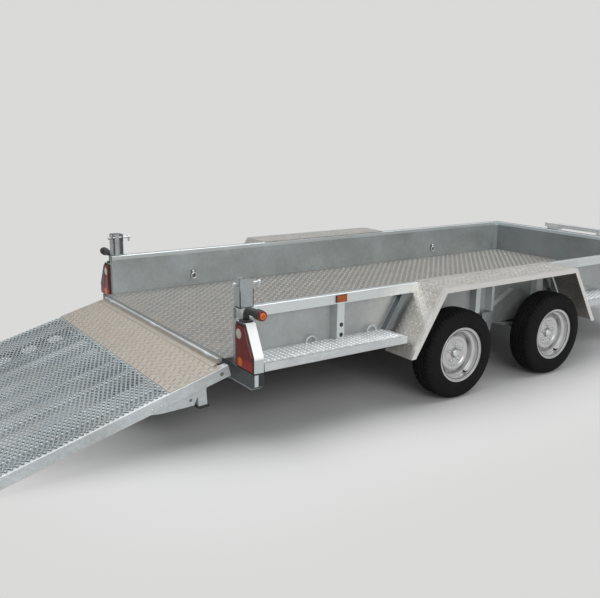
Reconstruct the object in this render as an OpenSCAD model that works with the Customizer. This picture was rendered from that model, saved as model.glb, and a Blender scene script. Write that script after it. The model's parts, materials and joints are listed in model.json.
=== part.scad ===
// Twin axle plant trailer with low sides, flat topped mudguards and a full
// width loading ramp. Millimetres, +X to the drawbar, +Y to the left side,
// +Z up, the floor at z 0.

/* [Part] */
// Which sub-part to draw

/* [Bed] */
// Clear length of the deck between the rear edge and the front board
bed_l = 4270; // [3000:10:4900]
// Clear width of the deck between the side panels
bed_w = 1840; // [1500:10:1960]
// Height of the top of the deck over the floor
deck_z = 475; // [460:1:520]
// Thickness of the deck plate
deck_t = 5; // [3:0.5:8]
// Height of the top of the side rails over the floor
rail_z = 763; // [700:1:820]
// Width of the folded top rail
rail_w = 46; // [36:1:60]
// Height of the outer face of the folded top rail
rail_h = 62; // [48:1:70]
// Height of the inner face of the folded top rail
rail_lip = 32; // [20:1:40]
// Sheet thickness of the side panels and rails
panel_t = 3; // [2:0.5:4]

/* [Chassis] */
// Height of the folded side members under the deck
member_h = 85; // [70:1:95]
// Width of the folded side members
member_w = 55; // [45:1:60]
// Number of cross bearers under the deck
bearer_n = 9; // [7:1:11]
// Length of the drawbar ahead of the front board
drawbar_l = 1290; // [1150:10:1500]
// Depth of the drawbar side beams
drawbar_h = 90; // [80:1:100]

/* [Wheels] */
// Outer diameter of the tyres
tyre_d = 596; // [560:1:610]
// Section width of the tyres
tyre_w = 178; // [165:1:185]
// Outer diameter of the rim flanges
rim_d = 366; // [350:1:372]
// Rear axle ahead of the rear edge of the deck
axle_x = 1600; // [1500:10:1700]
// Distance between the two axles
axle_gap = 938; // [880:1:1000]
// Middle plane of each tyre out from the inner face of the side panel
tyre_out = 185; // [180:1:190]
// Wheel stud circle diameter
stud_pcd = 112; // [98:1:120]
// Number of wheel studs
stud_n = 5; // [4:1:6]

/* [Mudguards] */
// Outer edge of the mudguards out from the inner face of the side panel
guard_out = 294; // [284:1:310]
// Rear end of the flat top ahead of the rear edge of the deck
guard_x0 = 1398; // [1350:1:1440]
// Front end of the flat top ahead of the rear edge of the deck
guard_x1 = 2705; // [2660:1:2760]
// Lengthwise run of each sloping end
guard_run = 262; // [240:1:280]
// Height of the lower ends of the mudguard over the floor
guard_low = 348; // [330:1:370]
// Depth of the turned down outer lip
guard_lip = 32; // [20:1:40]
// Sheet thickness of the mudguards
guard_t = 4; // [3:0.5:5]

/* [Ramp] */
// Length of the ramp from its hinge pin to its toe
ramp_l = 1400; // [1300:5:1450]
// Width of the ramp over its side beams
ramp_w = 1900; // [1860:10:1910]
// Depth of the ramp side beams
ramp_h = 72; // [66:1:76]
// Height left under the hinge line at the toe
toe_h = 75; // [66:1:78]
// Length of the plain plate next to the hinge, along the ramp
ramp_plate_l = 345; // [250:5:420]
// Number of cross ribs under the mesh
ramp_rib_n = 3; // [2:1:4]
// Openings of the ramp's grid from side to side
mesh_columns = 12; // [8:1:12]
// Openings of the ramp's grid from the plate to the toe
mesh_rows = 7; // [4:1:9]
// Width of the grid's bars
mesh_bar = 30; // [20:1:40]
// Diameter of the ramp hinge pin
hinge_d = 18; // [14:1:20]
// Outer diameter of the hinge tube
hinge_od = 30; // [28:1:32]
// Running clearance round the hinge pin
hinge_clear = 0.5; // [0.3:0.1:1]

/* [Steps and lamps] */
// Outer edge of the side steps out from the inner face of the side panel
step_out = 232; // [200:1:270]
// Height of the folded front face of the steps
step_h = 44; // [30:1:55]
// Rear face of the lamp boxes ahead of the rear edge of the deck
lamp_x = 56; // [45:1:70]
// Depth of the lamp boxes
lamp_d = 60; // [45:1:70]

/* [Hidden] */
$fn = 48;
eps = 0.01;

// Half widths and heights worked out from the sizes above
half_w = bed_w / 2;
rail_y = half_w + rail_w;
tyre_y = half_w + tyre_out;
guard_y = half_w + guard_out;
step_y = half_w + step_out;
drawbar_x0 = bed_l * 0.773;
front_step_x1 = bed_l * 0.8;
tyre_r = tyre_d / 2;
rim_r = rim_d / 2;
axle_z = tyre_r;
axle_x2 = axle_x + axle_gap;
mid_x = axle_x + axle_gap / 2;
member_z = deck_z - deck_t - member_h;
member_y = half_w - member_w + 10;
box_t = 4;

// Ramp hinge: the pin lies just behind the rear edge of the deck
hinge_x = -16;
hinge_z = deck_z - 23;
ramp_top = -12;
ramp_a = asin((hinge_z - toe_h) / ramp_l);
beam_w = 48;

// Overall reach, so that the middle of the length lies at x 0
reach_front = bed_l + drawbar_l;
reach_rear = ramp_l * cos(ramp_a) - hinge_x + ramp_top * sin(ramp_a);
rear_x = (reach_rear - reach_front) / 2;

steel = [0.66, 0.68, 0.69];
steel_dark = [0.5, 0.52, 0.54];
alu = [0.75, 0.74, 0.71];
black = [0.08, 0.08, 0.09];

// Draws in the frame of the bed: x 0 at the rear edge of the deck
module bed() {
  translate([rear_x, 0, 0]) children();
}

// Draws a left hand piece on the right hand side
module right_hand() {
  mirror([0, 1, 0]) children();
}

// Box from a low corner and a size
module box(c, s) {
  translate(c) cube(s);
}

// Round bar along Y
module bar_y(x, y0, y1, z, d) {
  translate([x, y1, z]) rotate([90, 0, 0]) cylinder(h = y1 - y0, d = d);
}

// Round bar along X
module bar_x(x0, x1, y, z, d) {
  translate([x0, y, z]) rotate([0, 90, 0]) cylinder(h = x1 - x0, d = d);
}

// Outline in the Y Z plane drawn out along X
module along_x(x0, x1) {
  translate([x0, 0, 0])
    rotate([90, 0, 90])
      linear_extrude(height = x1 - x0) children();
}

// Outline in the X Z plane drawn out along Y
module along_y(y0, y1) {
  translate([0, y1, 0])
    rotate([90, 0, 0])
      linear_extrude(height = y1 - y0) children();
}

// Points of an arc about a middle point
function arc(cx, cy, r, a0, a1, n) =
  [for (i = [0:n]) let (a = a0 + (a1 - a0) * i / n)
    [cx + r * cos(a), cy + r * sin(a)]];

// Deck: one plate let in between the side panels
corner_w = 26;
module deck_plate() {
  color(steel) bed() difference() {
    box([0, -half_w + 0.3, deck_z - deck_t],
        [bed_l - 0.3, bed_w - 0.6, deck_t]);
    for (s = [-1, 1])
      translate([bed_l, s * half_w, deck_z - deck_t - 1])
        rotate([0, 0, 45])
          translate([-corner_w, -corner_w, 0])
            cube([2 * corner_w, 2 * corner_w, deck_t + 2]);
  }
}

// Folded C section with its open side towards +Y, along X
module c_section(w, h, t) {
  difference() {
    square([w, h]);
    translate([t, t]) square([w, h - 2 * t]);
  }
}

// Side members, two inner stringers and the cross bearers, all folded
module chassis_frame() {
  x0 = lamp_x + lamp_d;
  run = bed_l - x0 - 100;
  color(steel_dark) bed() {
    for (m = [0, 1]) mirror([0, m, 0]) {
      along_x(x0, bed_l - 0.3)
        translate([half_w - 0.3, member_z])
          mirror([1, 0]) c_section(member_w, member_h - 0.3, box_t);
      along_x(x0, bed_l - 0.3)
        translate([stringer_y, member_z + 25])
          c_section(50, member_h - 25.3, box_t);
    }
    for (i = [0:bearer_n - 1])
      along_y(-half_w + member_w - box_t, half_w - member_w + box_t)
        translate([x0 + 30 + run * i / (bearer_n - 1), member_z + 30])
          c_section(40, member_h - 30.3, box_t);
  }
}
stringer_y = 290;

// Rear cross member: a box bar with cut corners, the hinge tube and web
module rear_crossmember() {
  z0 = 338;
  low_h = 92;
  y1 = step_y + 4;
  color(steel) bed() {
    difference() {
      along_x(lamp_x, lamp_x + lamp_d - 0.3)
        polygon([[-y1 + 34, z0], [y1 - 34, z0], [y1, z0 + 26],
                 [y1, z0 + low_h], [-y1, z0 + low_h],
                 [-y1, z0 + 26]]);
      box([lamp_x + box_t, -y1 + 40, z0 + box_t],
          [lamp_d, 2 * y1 - 80, low_h - 2 * box_t]);
    }
    box([lamp_x, -half_w + 0.3, z0 + low_h - eps],
        [lamp_d - 0.3, bed_w - 0.6, deck_z - deck_t - z0 - low_h - 0.3]);
    box([-1.2, -half_w + 34, hinge_z - 12],
        [5, bed_w - 68, deck_z - deck_t - hinge_z + 11.7]);
    box([2, -half_w + 34, deck_z - deck_t - 5],
        [lamp_x, bed_w - 68, 4.7]);
    difference() {
      bar_y(hinge_x, -half_w + 34, half_w - 34, hinge_z, hinge_od);
      for (y = knuckles)
        box([hinge_x - 20, y - knuckle_w / 2 - 0.6, hinge_z - 20],
            [40, knuckle_w + 1.2, 40]);
    }
    bar_y(hinge_x, -half_w + 36, half_w - 36, hinge_z, hinge_d);
  }
}
knuckles = [160 - half_w, 0, half_w - 160];
knuckle_w = 80;

// Top rail section: a folded hood with rounded upper corners
module rail_outline(y0, w, z1, h_out, h_in, t, r) {
  difference() {
    polygon(concat(
      [[y0, z1 - h_in]],
      arc(y0 + r, z1 - r, r, 180, 90, 6),
      arc(y0 + w - r, z1 - r, r, 90, 0, 6),
      [[y0 + w, z1 - h_out], [y0 + w - 12, z1 - h_out],
       [y0 + w - 12, z1 - h_out + t], [y0 + w - t, z1 - h_out + t],
       [y0 + w - t, z1 - h_in]]));
    polygon(concat(
      [[y0 + t, z1 - h_in - 1]],
      arc(y0 + r, z1 - r, r - t, 180, 90, 6),
      arc(y0 + w - r, z1 - r, r - t, 90, 0, 6),
      [[y0 + w - t, z1 - h_in - 1]]));
  }
}

// Hat section standing on the outer face of the side panel
module hat_post(x, face, root, z0) {
  along_z(z0, rail_z - rail_h + 3)
    polygon([[x - root, half_w + panel_t - eps], [x - face, rail_y],
             [x + face, rail_y], [x + root, half_w + panel_t - eps]]);
}

// Brace that follows a sloping end of the mudguard, lo to hi in height
module slope_brace(x_hi, x_lo, w) {
  hi = rail_z - rail_h + 3;
  lo = deck_z + 8;
  along_y(half_w + panel_t - eps, rail_y - 3)
    polygon([[x_hi - w, hi], [x_hi, hi], [x_lo, lo], [x_lo - w, lo]]);
}

// Side panel with its folded rail, stanchions, arch posts and braces
module side_panel() {
  x0 = lamp_x + 90;
  x1 = lamp_x + lamp_d;
  low = member_z - 12;
  reach = bed_l + rail_w - 0.3;
  lean = guard_run / (rail_z - guard_low);
  drop = rail_z - rail_h + 3 - deck_z - 8;
  bed() {
    box([lamp_x, half_w, 430.3], [reach - lamp_x, panel_t,
                                  rail_z - 20 - 430.3]);
    box([x1, half_w, low], [reach - x1, panel_t, 60]);
    along_x(x0 - 90, reach)
      rail_outline(half_w, rail_w, rail_z, rail_h, rail_lip, panel_t, 9);
    for (x = stanchions) hat_post(x, 30, 52, deck_z + 7.3);
    for (p = arch_posts)
      hat_post(mid_x + p[0], p[1], p[1] + 12, member_z + p[2]);
    slope_brace(guard_x0 - 73, guard_x0 - 73 - drop * lean, 55);
    slope_brace(guard_x1 + 20, guard_x1 + 20 + drop * lean, 60);
    along_y(half_w + panel_t - eps, half_w + panel_t + 8)
      polygon([[mid_x + 306, 600], [mid_x + 264, 614],
               [mid_x + 62, 509], [mid_x + 62, 473]]);
  }
}
stanchions = [775, bed_l * 0.834];
arch_posts = [[-99, 22, 95], [49, 12, 95], [549, 34, 15]];

// Outline in the X Y plane drawn out along Z
module along_z(z0, z1) {
  translate([0, 0, z0]) linear_extrude(height = z1 - z0) children();
}
module side_panel_left() { color(steel) side_panel(); }
module side_panel_right() { color(steel) right_hand() side_panel(); }

// Front board with the same rail and a filled angle at each inner corner
module front_panel() {
  low = member_z;
  color(steel) bed() {
    box([bed_l, -half_w + 0.3, low],
        [panel_t, bed_w - 0.6, rail_z - 20 - low]);
    intersection() {
      along_y(-half_w + 0.3, half_w - 0.3)
        rail_outline(bed_l, rail_w, rail_z, rail_h, rail_lip, panel_t, 9);
      box([bed_l - 1, -half_w, 0], [rail_w + 2, bed_w, 900]);
    }
    for (m = [0, 1]) mirror([0, m, 0])
      along_z(deck_z - deck_t, rail_z - rail_lip - 0.3)
        polygon([[bed_l + eps, half_w - 0.3],
                 [bed_l + eps, half_w - corner_w],
                 [bed_l - corner_w, half_w - 0.3]]);
  }
}

// Rest for a digger bucket: a bent plate on gussets over the front board
rest_w = 612;
rest_run = 300;
module bucket_rest() {
  z1 = rail_z + 60;
  y1 = rest_w / 2;
  color(steel) bed() {
    along_y(-y1, y1)
      polygon([[bed_l + 2, z1 - 34], [bed_l + 2, z1],
               [bed_l + 60, z1], [bed_l + rest_run, z1 - 40],
               [bed_l + rest_run + 10, z1 - 72],
               [bed_l + rest_run + 5, z1 - 74],
               [bed_l + rest_run - 4, z1 - 44.5],
               [bed_l + 59, z1 - 5], [bed_l + 7, z1 - 5],
               [bed_l + 7, z1 - 34]]);
    for (s = [-1, 1])
      along_y(s * (y1 - 30) - 4, s * (y1 - 30) + 4)
        polygon([[bed_l + 4, rail_z + 0.3], [bed_l + 4, z1 - 4],
                 [bed_l + 59, z1 - 4], [bed_l + rest_run - 4, z1 - 43.5],
                 [bed_l + rest_run - 8, z1 - 62],
                 [bed_l + rail_w + 0.3, rail_z - 58],
                 [bed_l + rail_w + 0.3, rail_z + 0.3]]);
  }
}

// Rear post with the latch bracket on its head
module rear_post() {
  y0 = half_w + 6;
  zt = latch_z + 30;
  bed() {
    box([lamp_x, half_w + panel_t + 0.3, 430.3],
        [40, rail_w - panel_t - 0.3, rail_z - rail_h - 430.6]);
    box([lamp_x - 4, y0, rail_z + 0.3], [96, 58, 5]);
    difference() {
      union() {
        along_y(y0 + 54, y0 + 58)
          polygon([[lamp_x - 4, rail_z + 0.3], [lamp_x - 4, zt - 6],
                   [lamp_x + 18, zt], [lamp_x + 40, zt],
                   [lamp_x + 46, zt - 20], [lamp_x + 92, zt - 20],
                   [lamp_x + 92, rail_z + 0.3]]);
        for (x = [lamp_x - 4, lamp_x + 88])
          along_x(x, x + 4)
            polygon(concat([[y0, rail_z + 0.3]],
                           arc(y0 + 28, latch_z, 24, 180, 90, 6),
                           [[y0 + 58, latch_z + 24],
                            [y0 + 58, rail_z + 0.3]]));
      }
      bar_x(0, 400, y0 + 28, latch_z, latch_d + 1);
    }
  }
}
latch_z = 893;
latch_d = 16;
module rear_post_left() { color(steel) rear_post(); }
module rear_post_right() { color(steel) right_hand() rear_post(); }

// Sliding latch bolt with its collar, drop handle and end knob
module latch_bolt() {
  y = half_w + 34;
  bed() {
    bar_x(lamp_x - 16, lamp_x + 176, y, latch_z, latch_d);
    bar_x(lamp_x + 74, lamp_x + 82, y, latch_z, 28);
    bar_x(lamp_x + 172, lamp_x + 188, y, latch_z, 30);
    box([lamp_x + 156, y - 5, latch_z - 80], [14, 10, 80]);
  }
}
module latch_bolt_left() { color(steel_dark) latch_bolt(); }
module latch_bolt_right() { color(steel_dark) right_hand() latch_bolt(); }

// Lamp box: upright inner side, outer side leaning in at the top
lamp_y0 = rail_y + 0.3;
module lamp_outline(g) {
  polygon([[lamp_y0 + g, 437 + g], [step_y - g, 437 + g],
           [step_y - g, 525], [lamp_y0 + 98 - g, 695 - g],
           [lamp_y0 + g, 695 - g]]);
}
module lamp_housing() {
  bed() difference() {
    along_x(lamp_x, lamp_x + lamp_d) lamp_outline(0);
    along_x(lamp_x + 3, lamp_x + lamp_d + 1) lamp_outline(3);
  }
}
module lamp_housing_left() { color(steel) lamp_housing(); }
module lamp_housing_right() { color(steel) right_hand() lamp_housing(); }

// Lens set on the rear face of the lamp box
module tail_lamp() {
  bed() {
    along_x(lamp_x - 12, lamp_x - 0.3) lamp_outline(3);
    along_x(lamp_x - 22, lamp_x - 12 + eps) lamp_outline(9);
  }
}
module tail_lamp_left() { color([0.5, 0.05, 0.04]) tail_lamp(); }
module tail_lamp_right() { color([0.5, 0.05, 0.04]) right_hand() tail_lamp(); }

// Outline marker lamp: a bent rubber arm with its head turned outwards
module marker_lamp() {
  x = lamp_x + 30;
  y = lamp_y0 + 50;
  z = rail_z;
  bed() {
    box([lamp_x, y - 30, 695.3], [60, 60, 12]);
    translate([x, y, 700]) cylinder(h = z - 700, d1 = 40, d2 = 34);
    translate([x, y, z]) sphere(d = 36);
    translate([x, y, z]) rotate([-90, 0, 0])
      cylinder(h = 112, d1 = 34, d2 = 46);
    translate([x, y + 110, z]) rotate([-90, 0, 0])
      cylinder(h = 66, d = 60);
    translate([x, y + 176 - eps, z]) rotate([-90, 0, 0])
      cylinder(h = 6, d = 50);
  }
}
module marker_lamp_left() { color(black) marker_lamp(); }
module marker_lamp_right() { color(black) right_hand() marker_lamp(); }

// Mudguard: flat top, sloping ends, outer lip turned down
module guard_path(d) {
  polygon([[guard_x0 - guard_run + d * 1.2, guard_low],
           [guard_x0 + d * 0.55, rail_z + 4.3 - d],
           [guard_x1 - d * 0.55, rail_z + 4.3 - d],
           [guard_x1 + guard_run - d * 1.2, guard_low]]);
}
module mudguard() {
  bed() {
    difference() {
      along_y(rail_y + 0.3, guard_y) guard_path(0);
      along_y(rail_y, guard_y + 1)
        translate([0, -eps]) guard_path(guard_t);
    }
    difference() {
      along_y(guard_y - guard_t, guard_y) guard_path(0);
      along_y(guard_y - guard_t - 1, guard_y + 1)
        translate([0, -eps]) guard_path(guard_lip);
    }
    box([guard_x0 + 6, half_w, rail_z + 0.3],
        [guard_x1 - guard_x0 - 12, rail_w + 2, 4]);
  }
}
module mudguard_left() { color(alu) mudguard(); }
module mudguard_right() { color(alu) right_hand() mudguard(); }

// Side step: tread plate with a folded front and two under brackets
module step_shape(x0, x1) {
  y0 = half_w + panel_t + 0.3;
  bed() {
    along_x(x0, x1)
      polygon([[y0, 482], [step_y - 24, 482], [step_y - 24, 476],
               [step_y - 4, 476], [step_y - 4, 484], [step_y, 484],
               [step_y, 484 - step_h], [step_y - 16, 484 - step_h],
               [step_y - 16, 487 - step_h], [step_y - 4, 487 - step_h],
               [step_y - 4, 472], [step_y - 28, 472],
               [step_y - 28, 478], [y0, 478]]);
    along_x(x1 - 6, x1 - 3)
      polygon([[y0, 478 + eps], [step_y - 16, 478 + eps],
               [step_y - 16, 468], [y0, 440]]);
    for (x = [x0 + 60, (x0 + x1) / 2, x1 - 60])
      translate([x, 0, 0]) along_x(-3, 3)
        polygon([[y0, 478 + eps], [step_y - 40, 478 + eps],
                 [step_y - 40, 462], [y0, 400]]);
  }
}
module side_step() {
  step_shape(lamp_x + lamp_d + 6, 1150);
}
module side_step_left() { color(alu) side_step(); }
module side_step_right() { color(alu) right_hand() side_step(); }
module front_step() {
  step_shape(guard_x1 + guard_run - 6, front_step_x1);
}
module front_step_left() { color(alu) front_step(); }
module front_step_right() { color(alu) right_hand() front_step(); }

// Amber side reflector on the rail
module side_reflector() {
  bed() box([733, rail_y + 0.3, 711], [80, 7, 45]);
}
module side_reflector_left() { color([0.9, 0.35, 0.05]) side_reflector(); }
module side_reflector_right() {
  color([0.9, 0.35, 0.05]) right_hand() side_reflector();
}

// Rope hoops standing on the inner edge of the steps
module rope_hooks() {
  r = 36;
  bed() for (x = [576, 1040, 3190]) {
    intersection() {
      translate([x, half_w + 22, 484]) rotate([90, 0, 0])
        rotate_extrude() translate([r, 0]) circle(d = 9, $fn = 24);
      box([x - 60, half_w, 482.3], [120, 60, 80]);
    }
  }
}
module rope_hooks_left() { color(steel) rope_hooks(); }
module rope_hooks_right() { color(steel) right_hand() rope_hooks(); }

// Lashing eyes inside the bed: a plate with a standing ring
module lashing_rings() {
  bed() for (x = [722, 3350]) {
    box([x - 30, half_w - 6.3, 530], [60, 6, 56]);
    translate([x, half_w - 11.1, 558]) rotate([90, 0, 0])
      rotate_extrude() translate([17, 0]) circle(d = 9, $fn = 24);
  }
}
module lashing_rings_left() { color(steel) lashing_rings(); }
module lashing_rings_right() { color(steel) right_hand() lashing_rings(); }

// Leaf springs on a middle rocker and end hangers
eye_z = 392;
spring_y = half_w + 23;
module leaf(x0, x1, z_end, z_mid, t) {
  xm = (x0 + x1) / 2;
  n = 12;
  top = [for (i = [0:n]) let (u = -1 + 2 * i / n)
    [xm + u * (x1 - x0) / 2, z_mid + (z_end - z_mid) * u * u + t / 2]];
  low = [for (i = [n:-1:0]) let (u = -1 + 2 * i / n)
    [xm + u * (x1 - x0) / 2, z_mid + (z_end - z_mid) * u * u - t / 2]];
  along_y(spring_y - 14, spring_y + 14) polygon(concat(top, low));
}
module hanger_plates() {
  for (y = [spring_y - 19.7, spring_y + 15]) along_y(y, y + 4) children();
}
module hanger(x, drop) {
  difference() {
    union() {
      hanger_plates() polygon(concat(
        [[x - 40, member_z + 55], [x + 40, member_z + 55],
         [x + 26, eye_z - 8]],
        arc(x, eye_z - drop + 14, 16, -10, -170, 8),
        [[x - 26, eye_z - 8]]));
      bar_y(x, spring_y - 19, spring_y + 21, eye_z, 32);
    }
    bar_y(x, spring_y - 30, spring_y + 30, eye_z, 18);
  }
}
// Middle hanger: a pear shaped plate that hangs to one side of its eye
module middle_hanger(x) {
  difference() {
    union() {
      hanger_plates() polygon(concat(
        [[x - 44, member_z + 90], [x + 56, member_z + 84],
         [x + 58, eye_z + 20]],
        arc(x + 22, eye_z - 20, 34, 0, -30, 4),
        arc(x + 24, eye_z - 96, 11, -20, -160, 8),
        arc(x, eye_z, 34, 215, 160, 6)));
      bar_y(x, spring_y - 19, spring_y + 21, eye_z, 36);
    }
    bar_y(x, spring_y - 30, spring_y + 30, eye_z, 20);
  }
}
module suspension() {
  bed() {
    for (ax = [axle_x, axle_x2]) {
      leaf(ax - 400, ax + 400, eye_z, 342.3, 9);
      leaf(ax - 300, ax + 300, 361.76, 333.8, 9);
      box([ax - 50, spring_y - 19, 345.4], [100, 38, 8]);
    }
    for (x = [axle_x - 400, axle_x2 + 400]) hanger(x, 30);
    middle_hanger(mid_x);
    difference() {
      box([mid_x - 74, spring_y - 14, eye_z - 10], [148, 28, 20]);
      bar_y(mid_x, spring_y - 30, spring_y + 30, eye_z, 20);
    }
  }
}
module suspension_left() { color(steel_dark) suspension(); }
module suspension_right() { color(steel_dark) right_hand() suspension(); }

// Axle beam with spring seats and stub ends
module axle(x) {
  bed() {
    bar_y(x, 93 - tyre_y, tyre_y - 93, axle_z, 62);
    bar_y(x, 19 - tyre_y, tyre_y - 19, axle_z, 38);
    for (s = [-1, 1])
      box([x - 50, s * spring_y - 30, axle_z + 10], [100, 60, 21]);
  }
}
module axle_rear() { color(steel_dark) axle(axle_x); }
module axle_front() { color(steel_dark) axle(axle_x2); }

// Tyre section, radius across and width along the wheel axis
module tyre_section() {
  w = tyre_w / 2;
  r = tyre_r;
  difference() {
    polygon([[rim_r - 17, -w + 24], [rim_r - 4, -w + 19],
             [rim_r + 2, -w + 11], [rim_r + 42, -w],
             [r - 48, -w + 1], [r - 20, -w + 8], [r - 6, -w + 17],
             [r - 1, -w + 28], [r, 0], [r - 1, w - 28],
             [r - 6, w - 17], [r - 20, w - 8], [r - 48, w - 1],
             [rim_r + 42, w], [rim_r + 2, w - 11],
             [rim_r - 4, w - 19], [rim_r - 17, w - 24],
             [rim_r - 17, w - 40], [rim_r + 8, w - 34],
             [r - 40, w - 12], [r - 14, w - 34],
             [r - 14, -w + 34], [r - 40, -w + 12],
             [rim_r + 8, -w + 34], [rim_r - 17, -w + 40]]);
    for (g = [-32, 0, 32])
      translate([r - 8, g - 4]) square([12, 8]);
  }
}
module wheel_at(x) {
  bed() translate([x, tyre_y, axle_z]) rotate([-90, 0, 0]) children();
}
module tyre() {
  rotate_extrude($fn = 96) tyre_section();
}
module tyre_rear_left() { color(black) wheel_at(axle_x) tyre(); }
module tyre_rear_right() {
  color(black) right_hand() wheel_at(axle_x) tyre();
}
module tyre_front_left() { color(black) wheel_at(axle_x2) tyre(); }
module tyre_front_right() {
  color(black) right_hand() wheel_at(axle_x2) tyre();
}

// Rim: rolled well, dished disc, hub with brake drum, studs and cap
module rim_section() {
  w = 80;
  r = rim_r;
  polygon([[r, w], [r - 3, w + 1.5], [r - 6, w - 3], [r - 20.3, w - 12],
           [r - 20.3, w - 30], [r - 42, w - 44], [r - 42, -w + 52],
           [r - 20.3, -w + 30], [r - 20.3, -w + 12], [r - 6, -w + 3],
           [r - 3, -w - 1.5], [r, -w], [r - 4, -w + 9],
           [r - 17.3, -w + 14], [r - 17.3, -w + 32],
           [r - 38, -w + 54], [r - 38, w - 46], [r - 17.3, w - 32],
           [r - 17.3, w - 14], [r - 4, w - 9]]);
}
module disc_section() {
  polygon([[26, 18], [92, 18], [104, 26], [118, 27], [132, 14],
           [rim_r - 42, 8], [rim_r - 42, 4], [130, 9], [117, 22],
           [105, 21], [94, 13], [26, 13]]);
}
module rim() {
  rotate_extrude($fn = 96) rim_section();
  difference() {
    rotate_extrude($fn = 96) disc_section();
    for (i = [0:4]) rotate([0, 0, 72 * i + 54])
      translate([rim_r - 16, 0, -10]) cylinder(h = 60, d = 78);
  }
  translate([0, 0, 14]) cylinder(h = 26, d = 58);
  difference() {
    translate([0, 0, -74]) cylinder(h = 88, d = 200);
    translate([0, 0, -75]) cylinder(h = 43, d = 188);
    translate([0, 0, -75]) cylinder(h = 60, d = 39);
  }
  for (i = [0:stud_n - 1]) rotate([0, 0, 360 * i / stud_n + 18])
    translate([stud_pcd / 2, 0, 16]) {
      cylinder(h = 14, d = 22, $fn = 6);
      cylinder(h = 22, d = 12);
    }
}
module rim_rear_left() { color(steel) wheel_at(axle_x) rim(); }
module rim_rear_right() { color(steel) right_hand() wheel_at(axle_x) rim(); }
module rim_front_left() { color(steel) wheel_at(axle_x2) rim(); }
module rim_front_right() {
  color(steel) right_hand() wheel_at(axle_x2) rim();
}

// A frame drawbar: two channels from under the bed to the nose plate
module drawbar() {
  z0 = member_z - drawbar_h - 0.3;
  x0 = drawbar_x0;
  xn = bed_l + drawbar_l - 330;
  t = 6;
  color(steel) bed() {
    difference() {
      for (m = [0, 1]) mirror([0, m, 0])
        along_z(z0, z0 + drawbar_h)
          polygon([[x0, 660], [x0, 720], [xn, 62], [xn, 2 - eps]]);
      for (m = [0, 1]) mirror([0, m, 0])
        along_z(z0 + t, z0 + drawbar_h - t)
          polygon([[x0 - 1, 650], [x0 - 1, 720 - t], [xn - 90, 86],
                   [xn - 90, 24]]);
    }
    box([xn - 120, -70, z0], [150, 140, drawbar_h]);
    box([xn - 560, -230, z0 + 10], [50, 460, drawbar_h - 20]);
    box([x0, -720, z0 + drawbar_h - 6], [110, 1440, 6]);
  }
}

// Overrun housing, gaiter, ball coupling with its handle and hand brake
module coupling_head() {
  z = member_z + 44;
  xe = bed_l + drawbar_l;
  color(steel_dark) bed() {
    box([xe - 520, -46, member_z], [210, 92, 88]);
    for (i = [0:6])
      bar_x(xe - 310 + 18 * i - eps, xe - 298 + 18 * i, 0, z, 84);
    bar_x(xe - 311, xe - 90, 0, z, 60);
    difference() {
      union() {
        translate([xe - 46, 0, z - 32]) cylinder(h = 62, d = 92);
        box([xe - 170, -32, z - 28], [130, 64, 54]);
      }
      translate([xe - 46, 0, z - 14]) sphere(d = 51);
      translate([xe - 46, 0, z - 33]) cylinder(h = 20, d = 51);
    }
    box([xe - 210, -11, z + 26 - eps], [120, 22, 30]);
    box([xe - 470, 46 - eps, z], [60, 24, 50]);
    translate([xe - 440, 62, z + 30]) rotate([0, -58, 0])
      cylinder(h = 330, d = 20);
  }
}

// Jockey wheel: clamp, outer tube, winding handle, fork and wheel
module jockey_wheel() {
  x = bed_l + drawbar_l - 430;
  y = 150;
  color(steel) bed() {
    box([x - 34, 108, member_z - 80], [68, 70, 60]);
    translate([x, y, 150]) cylinder(h = 620, d = 48);
    translate([x, y, 770]) cylinder(h = 26, d = 60);
    bar_x(x - 150, x, y, 786, 12);
    translate([x - 144, y, 786]) cylinder(h = 70, d = 22);
    for (s = [-1, 1])
      box([x - 24, y + s * 36 - 3, 96], [48, 6, 66]);
    box([x - 24, y - 39, 150], [48, 78, 12]);
    bar_y(x, y - 44, y + 44, 110, 14);
    bar_y(x, y - 28, y + 28, 110, 220);
  }
}

// Ramp frame of reference: u runs from the pin to the toe, v square to it
module on_ramp() {
  bed() translate([hinge_x, 0, hinge_z]) rotate([0, -ramp_a, 0])
    mirror([1, 0, 0]) children();
}

// Prop under a side beam: a long gusset with two holes and a foot
module prop_plate(y, v0) {
  difference() {
    union() {
      along_y(y - 4, y + 4)
        polygon([[132, v0 + eps], [480, v0 + eps], [430, v0 - 20],
                 [266, v0 - 72], [232, v0 - 72], [205, v0 - 34],
                 [150, v0 - 30]]);
      along_y(y - 20, y + 4)
        polygon([[136, v0 + eps], [192, v0 + eps], [214, v0 - 96],
                 [156, v0 - 108]]);
    }
    for (p = [[243, v0 - 40, 16], [351, v0 - 16, 10]])
      translate([p[0], y + 30, p[1]]) rotate([90, 0, 0])
        cylinder(h = 60, d = p[2]);
  }
}

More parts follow.
